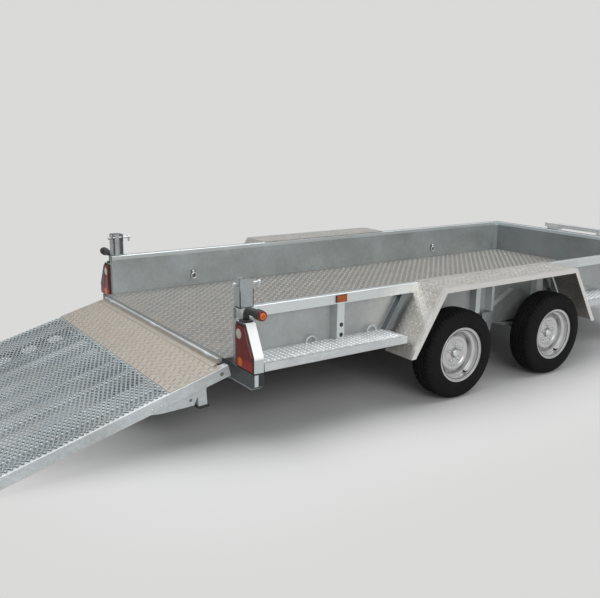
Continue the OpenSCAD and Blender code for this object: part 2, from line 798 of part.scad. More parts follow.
// Side beams, cross ribs, hinge knuckles and the prop plates
module ramp_frame() {
  v0 = ramp_top - ramp_h;
  yb = ramp_w / 2;
  span = ramp_l - ramp_plate_l;
  color(steel) intersection() {
    on_ramp() {
      for (s = [-1, 1]) {
        difference() {
          box([-20, s * (yb - beam_w / 2) - beam_w / 2, v0],
              [ramp_l + 20, beam_w, ramp_h]);
          box([-21, s * (yb - beam_w / 2) - beam_w / 2 + box_t,
               v0 + box_t],
              [ramp_l, beam_w - 2 * box_t, ramp_h - 2 * box_t]);
          box([-6, s * (yb - beam_w / 2) - beam_w, v0 + 20],
              [20, 2 * beam_w, 20]);
        }
        prop_plate(s * (yb - 14), v0);
      }
      for (i = [0:ramp_rib_n])
        box([ramp_plate_l - 20 + (span - 60) * i / ramp_rib_n,
             -yb + beam_w - eps, ramp_top - 48],
            [40, ramp_w - 2 * beam_w + 2 * eps, 44]);
      box([22, -yb + beam_w - eps, ramp_top - 48],
          [36, ramp_w - 2 * beam_w + 2 * eps, 44]);
      for (y = [-400, 400])
        box([40, y - 20, ramp_top - 44], [ramp_l - 60, 40, 36]);
      for (y = knuckles) {
        difference() {
          union() {
            translate([0, y + knuckle_w / 2, 0]) rotate([90, 0, 0])
              cylinder(h = knuckle_w, d = hinge_od - 3);
            box([0, y - knuckle_w / 2, -14], [21, knuckle_w, 11]);
            box([5, y - knuckle_w / 2, -40], [16.5, knuckle_w, 30]);
            box([5, y - knuckle_w / 2, -40], [18, knuckle_w, 23.5]);
          }
          translate([0, y + knuckle_w, 0]) rotate([90, 0, 0])
            cylinder(h = 2 * knuckle_w, d = hinge_d + 2 * hinge_clear);
        }
      }
    }
    translate([-4000, -1200, 0]) cube([5000, 2400, 900]);
  }
}

// Plain tread plate next to the hinge
plate_u0 = 22;
module ramp_plate() {
  yb = ramp_w / 2 - beam_w - 0.3;
  color(alu) on_ramp()
    box([plate_u0, -yb, ramp_top - 3.7],
        [ramp_plate_l - plate_u0, 2 * yb, 3.7]);
}

// Expanded mesh of the main ramp surface, drawn as a plain open grid
module ramp_mesh() {
  yb = ramp_w / 2 - beam_w - 0.3;
  u0 = ramp_plate_l + 0.3;
  run = ramp_l - ramp_plate_l - 6;
  du = (run - mesh_bar) / mesh_rows;
  dy = (2 * yb - mesh_bar) / mesh_columns;
  color(steel) on_ramp() difference() {
    box([u0, -yb, ramp_top - 3.7], [run, 2 * yb, 3.7]);
    for (i = [0:mesh_rows - 1], j = [0:mesh_columns - 1])
      box([u0 + mesh_bar + du * i, -yb + mesh_bar + dy * j,
           ramp_top - 10],
          [du - mesh_bar, dy - mesh_bar, 20]);
  }
}

deck_plate();
chassis_frame();
rear_crossmember();
side_panel_left();
side_panel_right();
front_panel();
bucket_rest();
rear_post_left();
rear_post_right();
latch_bolt_left();
latch_bolt_right();
lamp_housing_left();
lamp_housing_right();
tail_lamp_left();
tail_lamp_right();
marker_lamp_left();
marker_lamp_right();
mudguard_left();
mudguard_right();
side_step_left();
side_step_right();
front_step_left();
front_step_right();
side_reflector_left();
side_reflector_right();
rope_hooks_left();
rope_hooks_right();
lashing_rings_left();
lashing_rings_right();
suspension_left();
suspension_right();
axle_rear();
axle_front();
tyre_rear_left();
tyre_rear_right();
tyre_front_left();
tyre_front_right();
rim_rear_left();
rim_rear_right();
rim_front_left();
rim_front_right();
drawbar();
coupling_head();
jockey_wheel();
ramp_frame();
ramp_plate();
ramp_mesh();
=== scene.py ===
# %% [markdown]
# A twin axle plant trailer on a pale studio floor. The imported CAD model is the
# frame: its nodes stay where they are and get better finishes. Pieces that a
# plain solid can't show, such as tread plate, expanded mesh, tyre treads and
# ribbed lamp lenses, are worked out with numpy as surfaces and ride on the
# same bodies.

# %% Load the frame
import bmesh
import bpy
import json
import math
import numpy as np
from mathutils import Matrix, Vector


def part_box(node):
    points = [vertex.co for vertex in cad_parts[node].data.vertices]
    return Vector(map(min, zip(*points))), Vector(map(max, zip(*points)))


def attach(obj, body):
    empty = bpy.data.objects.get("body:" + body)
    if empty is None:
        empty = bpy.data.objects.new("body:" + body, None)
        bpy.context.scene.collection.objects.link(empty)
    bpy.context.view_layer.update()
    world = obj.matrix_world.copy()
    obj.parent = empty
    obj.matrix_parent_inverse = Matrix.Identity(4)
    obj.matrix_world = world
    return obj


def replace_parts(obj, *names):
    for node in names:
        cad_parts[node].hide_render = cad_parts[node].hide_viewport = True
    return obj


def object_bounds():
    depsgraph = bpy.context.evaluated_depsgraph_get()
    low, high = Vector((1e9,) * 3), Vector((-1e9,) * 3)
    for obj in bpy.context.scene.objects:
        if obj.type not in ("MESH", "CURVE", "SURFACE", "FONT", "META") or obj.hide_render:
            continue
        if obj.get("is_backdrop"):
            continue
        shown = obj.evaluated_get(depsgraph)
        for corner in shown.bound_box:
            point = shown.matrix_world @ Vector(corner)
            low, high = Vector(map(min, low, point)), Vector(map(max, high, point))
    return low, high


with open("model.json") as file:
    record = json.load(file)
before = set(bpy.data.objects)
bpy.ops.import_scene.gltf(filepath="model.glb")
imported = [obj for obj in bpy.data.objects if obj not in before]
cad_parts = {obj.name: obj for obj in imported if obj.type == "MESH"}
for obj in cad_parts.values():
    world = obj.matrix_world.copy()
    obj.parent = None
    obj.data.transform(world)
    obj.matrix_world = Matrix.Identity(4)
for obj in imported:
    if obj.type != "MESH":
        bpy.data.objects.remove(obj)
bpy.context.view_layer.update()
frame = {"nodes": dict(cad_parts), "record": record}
rear_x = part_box("deck_plate")[0].x
SIDES = (("left", 1), ("right", -1))
print("rear edge of the deck at x", round(rear_x, 4))

# %% [markdown]
# Every material and the studio are trees of nodes. Small tools build them: one
# fills an input, one makes a node with its inputs filled, one makes a sum, and
# two give the place on the piece.

# %% Node tools
def put(tree, value, socket):
    """Links a socket to an input, or sets the input to a number or tuple; None leaves it."""
    if isinstance(value, bpy.types.NodeSocket):
        tree.links.new(value, socket)
    elif value is not None:
        socket.default_value = value


def node(tree, kind, *sources, **values):
    """A node whose settings and inputs are given by name (_ for a space), then its inputs in order by sources."""
    made = tree.nodes.new(kind)
    for key, value in values.items():
        if hasattr(made, key):
            setattr(made, key, value)
        else:
            put(tree, value, made.inputs[key.replace("_", " ")])
    for socket, value in zip(made.inputs, sources):
        put(tree, value, socket)
    return made


def maths(tree, operation, a, b=None, c=None, clamp=False):
    """The result of one sum; a, b and c are numbers or sockets."""
    return node(tree, "ShaderNodeMath", a, b, c, operation=operation, use_clamp=clamp).outputs[0]


def own_place(tree):
    """The point on the piece, in the piece's own frame."""
    return tree.nodes.new("ShaderNodeTexCoord").outputs["Object"]


def own_axes(tree):
    """x, size of y, and z of the point on the piece."""
    parts = node(tree, "ShaderNodeSeparateXYZ", own_place(tree)).outputs
    return parts["X"], maths(tree, "ABSOLUTE", parts["Y"]), parts["Z"]


print("node tools ready")

# %% [markdown]
# The camera stands where the photograph was taken from: behind the right rear
# corner, a little over the height of the rail. Its place, turn and lens come
# from the straight edges of the photograph, so the render lies on it.

# %% Camera
def camera_turn(yaw, pitch, roll):
    """Turn of a camera that looks along yaw from +X and pitch over the level, then rolls by roll, in degrees."""
    y, p, r = (math.radians(a) for a in (yaw, pitch, roll))
    ahead = Vector((math.cos(y) * math.cos(p), math.sin(y) * math.cos(p), math.sin(p)))
    right = Vector((math.sin(y), -math.cos(y), 0.0))
    up = right.cross(ahead)
    right, up = (math.cos(r) * right + math.sin(r) * up,
                 -math.sin(r) * right + math.cos(r) * up)
    return Matrix((right, up, -ahead)).transposed()


cam_data = bpy.data.cameras.new("camera")
cam_data.sensor_width = 36.0
cam_data.lens = 45.08
camera = bpy.data.objects.new("camera", cam_data)
camera.matrix_world = camera_turn(55.59, -13.27, 0.765).to_4x4()
camera.location = (rear_x - 1.911, -4.448, 1.760)
bpy.context.scene.collection.objects.link(camera)
bpy.context.scene.camera = camera
bpy.context.scene.view_settings.view_transform = "Standard"
print("camera at", [round(v, 3) for v in camera.location])

# %% [markdown]
# The studio is one pale floor under a soft light; far from the trailer the
# floor fades into the same even tone as the backdrop. A wide lamp overhead does
# what the long light boxes of a car studio do: faces that look up turn pale,
# upright faces stay grey, and the ground under the bed goes dark. The world
# adds an even fill. What the camera and mirrors see behind the trailer is a
# separate pale tone, so the light on the object stays plain.

# %% Floor, world and lamps
scene = bpy.context.scene
floor_mesh = bpy.data.meshes.new("floor")
floor_mesh.from_pydata([(-60, -60, 0), (60, -60, 0), (60, 60, 0), (-60, 60, 0)], [], [(0, 1, 2, 3)])
floor = bpy.data.objects.new("floor", floor_mesh)
scene.collection.objects.link(floor)
floor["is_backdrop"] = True
floor_mat = bpy.data.materials.new("studio_floor")
floor_mat.use_nodes = True
floor_shader = floor_mat.node_tree.nodes["Principled BSDF"]
floor_shader.inputs["Base Color"].default_value = (0.56, 0.56, 0.555, 1)
floor_shader.inputs["Roughness"].default_value = 0.6
ft = floor_mat.node_tree
pale_tone = (0.70, 0.70, 0.695, 1)
lit_half, fade_length = (2.3, 1.0, 0.0), 1.35
far_glow = node(ft, "ShaderNodeEmission", Color=pale_tone)
place = ft.nodes.new("ShaderNodeNewGeometry").outputs["Position"]
folded = node(ft, "ShaderNodeVectorMath", place, operation="ABSOLUTE")
beyond = node(ft, "ShaderNodeVectorMath", folded.outputs[0], lit_half, operation="SUBTRACT")
kept = node(ft, "ShaderNodeVectorMath", beyond.outputs[0], operation="MAXIMUM")
away = node(ft, "ShaderNodeVectorMath", kept.outputs[0], operation="LENGTH")
reach = node(ft, "ShaderNodeMapRange", Value=away.outputs["Value"], From_Min=0.0, From_Max=fade_length,
             interpolation_type="SMOOTHSTEP")
far_mix = node(ft, "ShaderNodeMixShader", reach.outputs["Result"], floor_shader.outputs[0], far_glow.outputs[0])
put(ft, far_mix.outputs[0], ft.nodes["Material Output"].inputs["Surface"])
floor_mesh.materials.append(floor_mat)

world = bpy.data.worlds.new("studio")
world.use_nodes = True
wt = world.node_tree
fill = wt.nodes["Background"]
fill.inputs["Color"].default_value = (0.94, 0.97, 1.0, 1)
fill.inputs["Strength"].default_value = 0.34
seen = node(wt, "ShaderNodeBackground", Color=pale_tone, Strength=1.0)
path = wt.nodes.new("ShaderNodeLightPath")
choose = node(wt, "ShaderNodeMixShader", path.outputs["Is Camera Ray"], fill.outputs[0], seen.outputs[0])
put(wt, choose.outputs[0], wt.nodes["World Output"].inputs["Surface"])
scene.world = world


def light_box(name, place, size, watts, aim):
    """A soft area lamp of size (width, length) at place, turned to aim at a point."""
    data = bpy.data.lights.new(name, "AREA")
    data.shape = "RECTANGLE"
    data.size, data.size_y = size
    data.energy = watts
    lamp = bpy.data.objects.new(name, data)
    lamp.location = place
    lamp.rotation_euler = (Vector(aim) - Vector(place)).to_track_quat("-Z", "Y").to_euler()
    scene.collection.objects.link(lamp)
    return lamp


light_box("overhead_box", (0.2, 0.5, 7.8), (13.5, 9.0), 980.0, (0.0, 0.0, 0.0))
light_box("side_box", (-3.5, -9.5, 5.6), (8.0, 4.0), 420.0, (0.0, 0.0, 0.4))

# %% [markdown]
# Small tools for making surfaces. Every new piece is either a grid of points
# that a formula fills, a profile carried round an axis or along a path, or one
# small shape repeated at many places. All of them are whole numpy arrays.

# %% Mesh tools
PI = math.pi


def bed(x, y, z):
    """Points in metres from lengths in millimetres, with x counted from the rear edge of the deck."""
    x, y, z = np.broadcast_arrays(np.asarray(x, float), np.asarray(y, float), np.asarray(z, float))
    return np.stack([rear_x + x / 1000.0, y / 1000.0, z / 1000.0], axis=-1)


def grid_quads(rows, cols, close_rows=False, close_cols=False):
    """Faces of a grid: each joins point (i, j) with its neighbours, and a closed side joins last to first."""
    i = np.arange(rows if close_rows else rows - 1)[:, None]
    j = np.arange(cols if close_cols else cols - 1)[None, :]
    i2, j2 = (i + 1) % rows, (j + 1) % cols
    return np.stack([i * cols + j, i * cols + j2, i2 * cols + j2, i2 * cols + j], axis=-1).reshape(-1, 4)


def make_piece(name, shape, material, body="trailer", slot="galvanised", smooth=True, merge=0.0):
    """Puts a shape (points, blocks of faces) into a mesh at the origin, turns its faces outwards and lets it ride."""
    points, blocks = shape
    mesh = bpy.data.meshes.new(name)
    mesh.from_pydata(points.reshape(-1, 3).tolist(), [], [face for block in blocks for face in block.tolist()])
    bm = bmesh.new()
    bm.from_mesh(mesh)
    if merge:
        bmesh.ops.remove_doubles(bm, verts=bm.verts, dist=merge)
    bmesh.ops.recalc_face_normals(bm, faces=bm.faces)
    bm.to_mesh(mesh)
    bm.free()
    mesh.polygons.foreach_set("use_smooth", np.full(len(mesh.polygons), smooth))
    mesh.materials.append(material)
    obj = bpy.data.objects.new(name, mesh)
    scene.collection.objects.link(obj)
    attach(obj, body)
    print("piece", name, len(mesh.polygons), "faces on", body)
    return obj


def round_corners(points, radii, steps=4):
    """Replaces each inner corner of an open outline by an arc of its radius, from one tangent point to the next."""
    points = np.asarray(points, float)
    out = [points[0]]
    for a, b, c, r in zip(points[:-2], points[1:-1], points[2:], radii):
        u, v = a - b, c - b
        lu, lv = np.linalg.norm(u), np.linalg.norm(v)
        u, v = u / lu, v / lv
        half = 0.5 * math.acos(float(np.clip(u @ v, -1, 1)))
        back = min(r / math.tan(half), 0.49 * lu, 0.49 * lv) if r > 0 else 0.0
        if back <= 0:
            out.append(b)
            continue
        t = np.linspace(0, 1, steps + 1)[:, None]
        out.extend((1 - t) ** 2 * (b + u * back) + 2 * t * (1 - t) * b + t ** 2 * (b + v * back))
    out.append(points[-1])
    return np.array(out)


def revolve_about_y(section, turns, x, z, side=1):
    """A closed section of (out, radius) in millimetres turned about a level axis along Y at bed place x, z."""
    section = np.asarray(section, float)
    phi = np.linspace(0, 2 * PI, turns, endpoint=False)[:, None]
    out, r = section[None, :, 0], section[None, :, 1]
    pts = bed(x + r * np.cos(phi), side * (out + 0 * phi), z + r * np.sin(phi))
    return pts.reshape(-1, 3), [grid_quads(turns, len(section), True, True)]


def sweep(route, widths, ring=16, closed=False):
    """A round tube along a route of points in millimetres: a ring of the given radius square to the route at each."""
    route = np.asarray(route, float)
    widths = np.broadcast_to(np.asarray(widths, float), (len(route),))
    ahead = (np.roll(route, -1, 0) - np.roll(route, 1, 0)) if closed else np.gradient(route, axis=0)
    ahead /= np.linalg.norm(ahead, axis=1)[:, None]
    spread = np.ptp(route, axis=0)
    up = np.eye(3)[int(np.argmin(spread))]
    side = np.cross(ahead, up)
    side /= np.linalg.norm(side, axis=1)[:, None]
    rise = np.cross(side, ahead)
    phi = np.linspace(0, 2 * PI, ring, endpoint=False)
    pts = (route[:, None] + widths[:, None, None] * (np.cos(phi)[None, :, None] * side[:, None]
                                                     + np.sin(phi)[None, :, None] * rise[:, None]))
    quads = grid_quads(len(route), ring, closed, True)
    if closed:
        return pts.reshape(-1, 3), [quads]
    n = len(route) * ring
    ends = [np.arange(ring)[None, ::-1], np.arange(n - ring, n)[None, :]]
    return pts.reshape(-1, 3), [quads] + ends


def prism(outline, a, b):
    """A closed outline (p, q) drawn out from a to b: points (p, q, a) and (p, q, b), walls and the two ends."""
    outline = np.asarray(outline, float)
    n = len(outline)
    pts = np.concatenate([np.column_stack([outline, np.full(n, a)]), np.column_stack([outline, np.full(n, b)])])
    return pts, [grid_quads(2, n, False, True), np.arange(n)[None, ::-1], n + np.arange(n)[None]]


def joined(parts):
    """Several (points, faces) sets as one, with the face numbers moved on."""
    points, faces, count = [], [], 0
    for pts, blocks in parts:
        points.append(np.asarray(pts, float).reshape(-1, 3))
        faces += [np.asarray(b) + count for b in blocks]
        count += len(points[-1])
    return np.concatenate(points), faces


def stamp(shape, places, turns=0.0):
    """Copies of one small shape, each turned by an angle about its own upright axis and moved to its place."""
    points, faces = shape
    m, k = len(places), len(points)
    turns = np.broadcast_to(turns, (m,))[:, None]
    x, y, z = points.T
    pts = np.stack([np.cos(turns) * x - np.sin(turns) * y, np.sin(turns) * x + np.cos(turns) * y,
                    np.broadcast_to(z, (m, k))], axis=-1) + places[:, None, :]
    return pts.reshape(-1, 3), [(f + k * np.arange(m)[:, None, None]).reshape(-1, f.shape[-1]) for f in faces]


def sheet_section(line, thick):
    """Closed section of a bent sheet: the centre line moved by half the thickness to both sides along its normals."""
    line = np.asarray(line, float)
    d = np.gradient(line, axis=0)
    n = np.column_stack([-d[:, 1], d[:, 0]]) / np.linalg.norm(d, axis=1)[:, None]
    return np.concatenate([line + n * thick / 2, (line - n * thick / 2)[::-1]])


def low_dome(radius, high, sides=10, oval=1.0):
    """A low round head: rings whose radius falls as the height rises, closed at the middle.

    Oval stretches it along its first axis.
    """
    a = np.arange(sides) * 2 * PI / sides
    rings = [(1.0, 0.0), (0.94, 0.55), (0.6, 0.92), (0.0, 1.0)]
    pts = [np.column_stack([oval * radius * r * np.cos(a), radius * r * np.sin(a), np.full(sides, high * h)])
           for r, h in rings]
    return np.concatenate(pts) / 1000.0, [grid_quads(4, sides, False, True), np.arange(sides)[None, ::-1]]


def round_box(p0, p1, q0, q1, radius):
    """A rectangle with rounded corners as a closed outline, starting in the middle of its lower side."""
    m = (p0 + p1) / 2
    return round_corners([(m, q0), (p1, q0), (p1, q1), (p0, q1), (p0, q0), (m, q0)], [radius] * 4, 4)[:-1]


print("mesh tools ready")

# %% [markdown]
# Most of the trailer is steel dipped in molten zinc. Where the zinc freezes it
# leaves flat crystals, called spangle, each a slightly different grey, and it
# runs and pools in broad clouds. Both are node groups, so that every zinc part
# shares them with its own size and strength. The groups only put out masks and
# heights; the shader itself stays in each material.

# %% Shared effects
def new_group(name, inputs, outputs):
    """An empty shader group with named value sockets; inputs are (name, default)."""
    group = bpy.data.node_groups.new(name, "ShaderNodeTree")
    for label, value in inputs:
        socket = group.interface.new_socket(name=label, in_out="INPUT", socket_type="NodeSocketFloat")
        socket.default_value = value
    for label in outputs:
        group.interface.new_socket(name=label, in_out="OUTPUT", socket_type="NodeSocketFloat")
    return group, group.nodes.new("NodeGroupInput"), group.nodes.new("NodeGroupOutput")


def close_group(group, end, **outputs):
    """Links the named results to the group's outputs and hands the group back."""
    for label, source in outputs.items():
        group.links.new(source, end.inputs[label])
    return group


def ramp(tree, source, stops):
    """A colour ramp on a value: stops are (place, grey)."""
    made = node(tree, "ShaderNodeValToRGB", source)
    for element, (place, tone) in zip(made.color_ramp.elements, stops):
        element.position = place
        element.color = (tone, tone, tone, 1)
    return made.outputs["Color"]


def spangle_group():
    """Zinc crystals: flat cells of random grey over broad clouds, and the low ridges between the cells."""
    group, start, end = new_group("zinc_spangle", [("Size", 60.0), ("Cloud Size", 3.0)],
                                  ["Crystal", "Cloud", "Height"])
    place = own_place(group)
    wobble = node(group, "ShaderNodeTexNoise", Vector=place, Scale=14.0, Detail=2.0)
    shift = node(group, "ShaderNodeVectorMath", wobble.outputs["Color"], (0.02, 0.02, 0.02), place,
                 operation="MULTIPLY_ADD")
    cells = node(group, "ShaderNodeTexVoronoi", Vector=shift.outputs[0], Scale=start.outputs["Size"])
    split = node(group, "ShaderNodeSeparateColor", cells.outputs["Color"])
    cloud = node(group, "ShaderNodeTexNoise", Vector=place, Scale=start.outputs["Cloud Size"], Detail=6.0,
                 Roughness=0.62)
    fine = node(group, "ShaderNodeTexNoise", Vector=place, Scale=900.0, Detail=3.0)
    height = maths(group, "MULTIPLY_ADD", fine.outputs["Fac"], 0.5, split.outputs[1])
    return close_group(group, end, Crystal=split.outputs[0], Cloud=cloud.outputs["Fac"], Height=height)


def grime_group():
    """Dust and dried water marks: broad patches broken up by finer noise, between 0 and 1."""
    group, start, end = new_group("yard_grime", [("Size", 4.0), ("Cover", 0.5)], ["Mask"])
    broad = node(group, "ShaderNodeTexNoise", Vector=own_place(group), Scale=start.outputs["Size"], Detail=8.0,
                 Roughness=0.7)
    edge = maths(group, "SUBTRACT", 1.0, start.outputs["Cover"])
    above = maths(group, "SUBTRACT", broad.outputs["Fac"], edge)
    return close_group(group, end, Mask=maths(group, "MULTIPLY_ADD", above, 3.0, 0.5, clamp=True))


def rail_group():
    """Masks by place for painted light: the rail, over the panel's lip or above its lower edge and outside the bed,
    gets a painted highlight.

    Inside marks the bed, where the side panels are painted lighter; the posts get a painted highlight and the folded
    braces painted shade.
    """
    group, start, end = new_group("rail_zone", [("Low", 0.7005), ("Lip", 0.7305), ("Half Width", 0.9222),
                                                ("Front", rear_x + 4.2725)],
                                  ["Rail", "Inside", "Post", "Brace"])
    limit = start.outputs
    x, wide, z = own_axes(group)

    def past(value, least):
        return maths(group, "GREATER_THAN", value, least)

    def either(a, b):
        return maths(group, "MAXIMUM", a, b)

    def both(a, b):
        return maths(group, "MULTIPLY", a, b)

    def near(spans):
        """1 where x is within half a length of a middle, counted in metres from the rear edge of the deck."""
        found = 0.0
        for middle, half in spans:
            found = either(found, maths(group, "COMPARE", x, rear_x + middle, half))
        return both(found, past(wide, 0.9256))

    outside = either(past(wide, limit["Half Width"]), past(x, limit["Front"]))
    return close_group(group, end, Rail=either(both(past(z, limit["Low"]), outside), past(z, limit["Lip"])),
                       Inside=maths(group, "SUBTRACT", 1.0, outside),
                       Post=near([(0.775, 0.0265), (3.561, 0.0265), (2.28, 0.40)]),
                       Brace=near([(1.20, 0.15), (2.90, 0.15)]))


zinc_spangle = spangle_group()
yard_grime = grime_group()
rail_zone = rail_group()
print("groups", zinc_spangle.name, yard_grime.name, rail_zone.name)

# %% [markdown]
# Each finish is one material with the Principled shader in it. A zinc finish
# mixes a dark and a pale grey by crystal and cloud, and the same masks move
# its roughness, so that the crystals catch the light one by one. Plate of
# rolled aluminium is warmer and has fine streaks along the rolling direction.

# %% Zinc and aluminium finishes
def new_finish(name, **inputs):
    """An empty material with plain values on its shader: the material, its tree and its shader."""
    mat = bpy.data.materials.new(name)
    mat.use_nodes = True
    shader = mat.node_tree.nodes["Principled BSDF"]
    for label, value in inputs.items():
        shader.inputs[label.replace("_", " ")].default_value = value
    return mat, mat.node_tree, shader


def masks(tree, group, **values):
    """The outputs of one placed group with its own input values."""
    return node(tree, "ShaderNodeGroup", node_tree=group, **values).outputs


def blend_colours(tree, factor, a, b, mode="MIX", share=None):
    """A colour mix; a and b are colours or sockets, and a share scales the factor."""
    made = node(tree, "ShaderNodeMix", data_type="RGBA", blend_type=mode)
    put(tree, factor if share is None else maths(tree, "MULTIPLY", factor, share), made.inputs[0])
    for slot_number, value in ((6, a), (7, b)):
        put(tree, (*value, 1) if isinstance(value, tuple) else value, made.inputs[slot_number])
    return made.outputs[2]


def bump(tree, shader, height, strength, distance):
    """Feeds a height to the shader's normal."""
    made = node(tree, "ShaderNodeBump", Height=height, Strength=strength, Distance=distance)
    put(tree, made.outputs[0], shader.inputs["Normal"])


def soft_step(tree, value, start, end):
    """0 before start, 1 past end and a smooth rise between them."""
    return node(tree, "ShaderNodeMapRange", Value=value, From_Min=start, From_Max=end,
                interpolation_type="SMOOTHSTEP").outputs[0]


def below(tree, foot, base, soft=0.006):
    """Base above a height, another colour below it; foot is (height in metres, colour).

    A soft under 0 turns it over.
    """
    return blend_colours(tree, soft_step(tree, own_axes(tree)[2], foot[0] + soft, foot[0] - soft), base, foot[1])


def cut_ends(tree, base, wide, split, near, far):
    """Where |y| passes wide: the near colour up to x = split and the far colour past it, lengths in metres."""
    x, size, _ = own_axes(tree)
    face = blend_colours(tree, maths(tree, "GREATER_THAN", x, split), near, far)
    return blend_colours(tree, maths(tree, "GREATER_THAN", size, wide), base, face)


def zinc_finish(name, dark, pale, crystal_size=70.0, crystal_share=0.45, metal=0.75,
                rough=(0.34, 0.22), grime_cover=0.40, painted_rail_light=0.0, painted_inside_light=None, feet=(), ends=None):
    """Hot dipped zinc: greys by crystal and cloud, thin dust in patches, and where asked painted light by place: a
    painted highlight on the rail and posts, painted shade on the braces and a lighter inside of the bed.
    """
    mat, tree, shader = new_finish(name, Metallic=metal)
    zinc = masks(tree, zinc_spangle, Size=crystal_size, Cloud_Size=3.0)
    cloud = ramp(tree, zinc["Cloud"], [(0.32, 0.0), (0.68, 1.0)])
    tone = node(tree, "ShaderNodeMix", crystal_share, None, cloud, zinc["Crystal"], data_type="FLOAT").outputs[0]
    base = blend_colours(tree, tone, dark, pale)
    marks = masks(tree, yard_grime, Size=5.0, Cover=grime_cover)
    dust_and_painted_light = blend_colours(tree, marks["Mask"], base, (0.33, 0.31, 0.28), share=0.45)
    zone = masks(tree, rail_zone) if painted_rail_light or painted_inside_light else None
    # Painted light: the inside of the bed is made lighter.
    if painted_inside_light:
        dust_and_painted_light = blend_colours(tree, zone["Inside"], dust_and_painted_light, painted_inside_light, "MULTIPLY")
    # Painted highlight on the rail and posts, painted shade on the folded braces, and the rail's top painted a little
    # darker so that the overhead lamp does not burn it out.
    if painted_rail_light:
        bright = tuple(painted_rail_light * c for c in pale)
        dust_and_painted_light = blend_colours(tree, zone["Post"], dust_and_painted_light, bright, share=0.75)
        dust_and_painted_light = blend_colours(tree, zone["Brace"], dust_and_painted_light, (0.10, 0.115, 0.125), share=0.8)
        dust_and_painted_light = blend_colours(tree, zone["Rail"], dust_and_painted_light, bright, share=0.8)
        dust_and_painted_light = below(tree, (0.7612, tuple(0.86 * c for c in pale)), dust_and_painted_light, -0.0008)
    # Feet and ends give other colours below heights and at cut ends; on the crossmember they carry painted light and
    # shade.
    for foot in feet:
        dust_and_painted_light = below(tree, foot, dust_and_painted_light)
    if ends:
        dust_and_painted_light = cut_ends(tree, dust_and_painted_light, *ends)
    put(tree, dust_and_painted_light, shader.inputs["Base Color"])
    put(tree, maths(tree, "MULTIPLY_ADD", tone, rough[1], rough[0]), shader.inputs["Roughness"])
    bump(tree, shader, zinc["Height"], 0.12, 0.0006)
    return mat


def rolled_finish(name, dark, pale, metal=0.6, rough=(0.36, 0.2), streak=(2.0, 60.0, 60.0), edge=None):
    """Rolled aluminium plate: streaks along the rolling direction and warm stains in patches.

    Where asked it has a painted highlight, a bright edge past a width: edge is (|y| in metres, colour).
    """
    mat, tree, shader = new_finish(name, Metallic=metal)
    stretch = node(tree, "ShaderNodeMapping", Vector=own_place(tree), Scale=streak)
    lines = node(tree, "ShaderNodeTexNoise", Vector=stretch.outputs[0], Scale=6.0, Detail=6.0, Roughness=0.6)
    tone = ramp(tree, lines.outputs["Fac"], [(0.3, 0.0), (0.7, 1.0)])
    base = blend_colours(tree, tone, dark, pale)
    marks = masks(tree, yard_grime, Size=7.0, Cover=0.45)
    stain_and_edge_highlight = blend_colours(tree, marks["Mask"], base, (0.45, 0.38, 0.30), share=0.35)
    # Painted highlight along the edge of the plate.
    if edge:
        band = soft_step(tree, own_axes(tree)[1], edge[0] - 0.003, edge[0] + 0.003)
        stain_and_edge_highlight = blend_colours(tree, band, stain_and_edge_highlight, edge[1], share=0.85)
    put(tree, stain_and_edge_highlight, shader.inputs["Base Color"])
    put(tree, maths(tree, "MULTIPLY_ADD", tone, rough[1], rough[0]), shader.inputs["Roughness"])
    fine = node(tree, "ShaderNodeTexNoise", Vector=own_place(tree), Scale=700.0, Detail=2.0)
    bump(tree, shader, fine.outputs["Fac"], 0.15, 0.0004)
    return mat


# The side and front panels carry painted light by place: a painted highlight on the rails and posts, painted shade on
# the braces, and the side panels painted lighter inside the bed.
panel_zinc = zinc_finish("panel_zinc", (0.365, 0.385, 0.385), (0.50, 0.525, 0.525), 45.0, 0.30, painted_rail_light=1.55,
                         painted_inside_light=(1.18, 1.22, 1.22))
board_zinc = zinc_finish("board_zinc", (0.225, 0.25, 0.26), (0.315, 0.345, 0.355), 45.0, 0.30, painted_rail_light=2.1)
bright_zinc = zinc_finish("bright_zinc", (0.54, 0.56, 0.57), (0.74, 0.76, 0.765), 80.0, 0.4)
rest_zinc = zinc_finish("rest_zinc", (0.66, 0.68, 0.69), (0.86, 0.875, 0.88), 80.0, 0.4)
# The chassis zinc is painted far darker than zinc is: painted shade under the bed.
frame_zinc = zinc_finish("frame_zinc", (0.075, 0.08, 0.083), (0.15, 0.155, 0.16), 60.0, 0.5, grime_cover=0.55)
# The crossmember is painted by height: lighter above 0.46 m as a painted highlight on top of the hinge tube, a tan band
# below it, painted shade on the rear face under the tube and lighter again below 0.344 m; its cut ends have painted
# light on the rear part and painted shade further forward.
cross_zinc = zinc_finish("cross_zinc", (0.50, 0.53, 0.535), (0.66, 0.685, 0.69), 60.0, 0.5, grime_cover=0.45,
                         feet=[(0.4600, (0.45, 0.42, 0.37)), (0.434, (0.16, 0.17, 0.176)), (0.344, (0.62, 0.65, 0.66))],
                         ends=(1.1553, rear_x + 0.080, (0.62, 0.65, 0.66), (0.05, 0.053, 0.055)))
ramp_zinc = zinc_finish("ramp_zinc", (0.46, 0.50, 0.515), (0.68, 0.715, 0.725), 90.0, 0.5, metal=0.6, rough=(0.44, 0.2))
mesh_zinc = zinc_finish("mesh_zinc", (0.215, 0.25, 0.26), (0.35, 0.39, 0.405), 160.0, 0.5, metal=0.55,
                        rough=(0.46, 0.2))
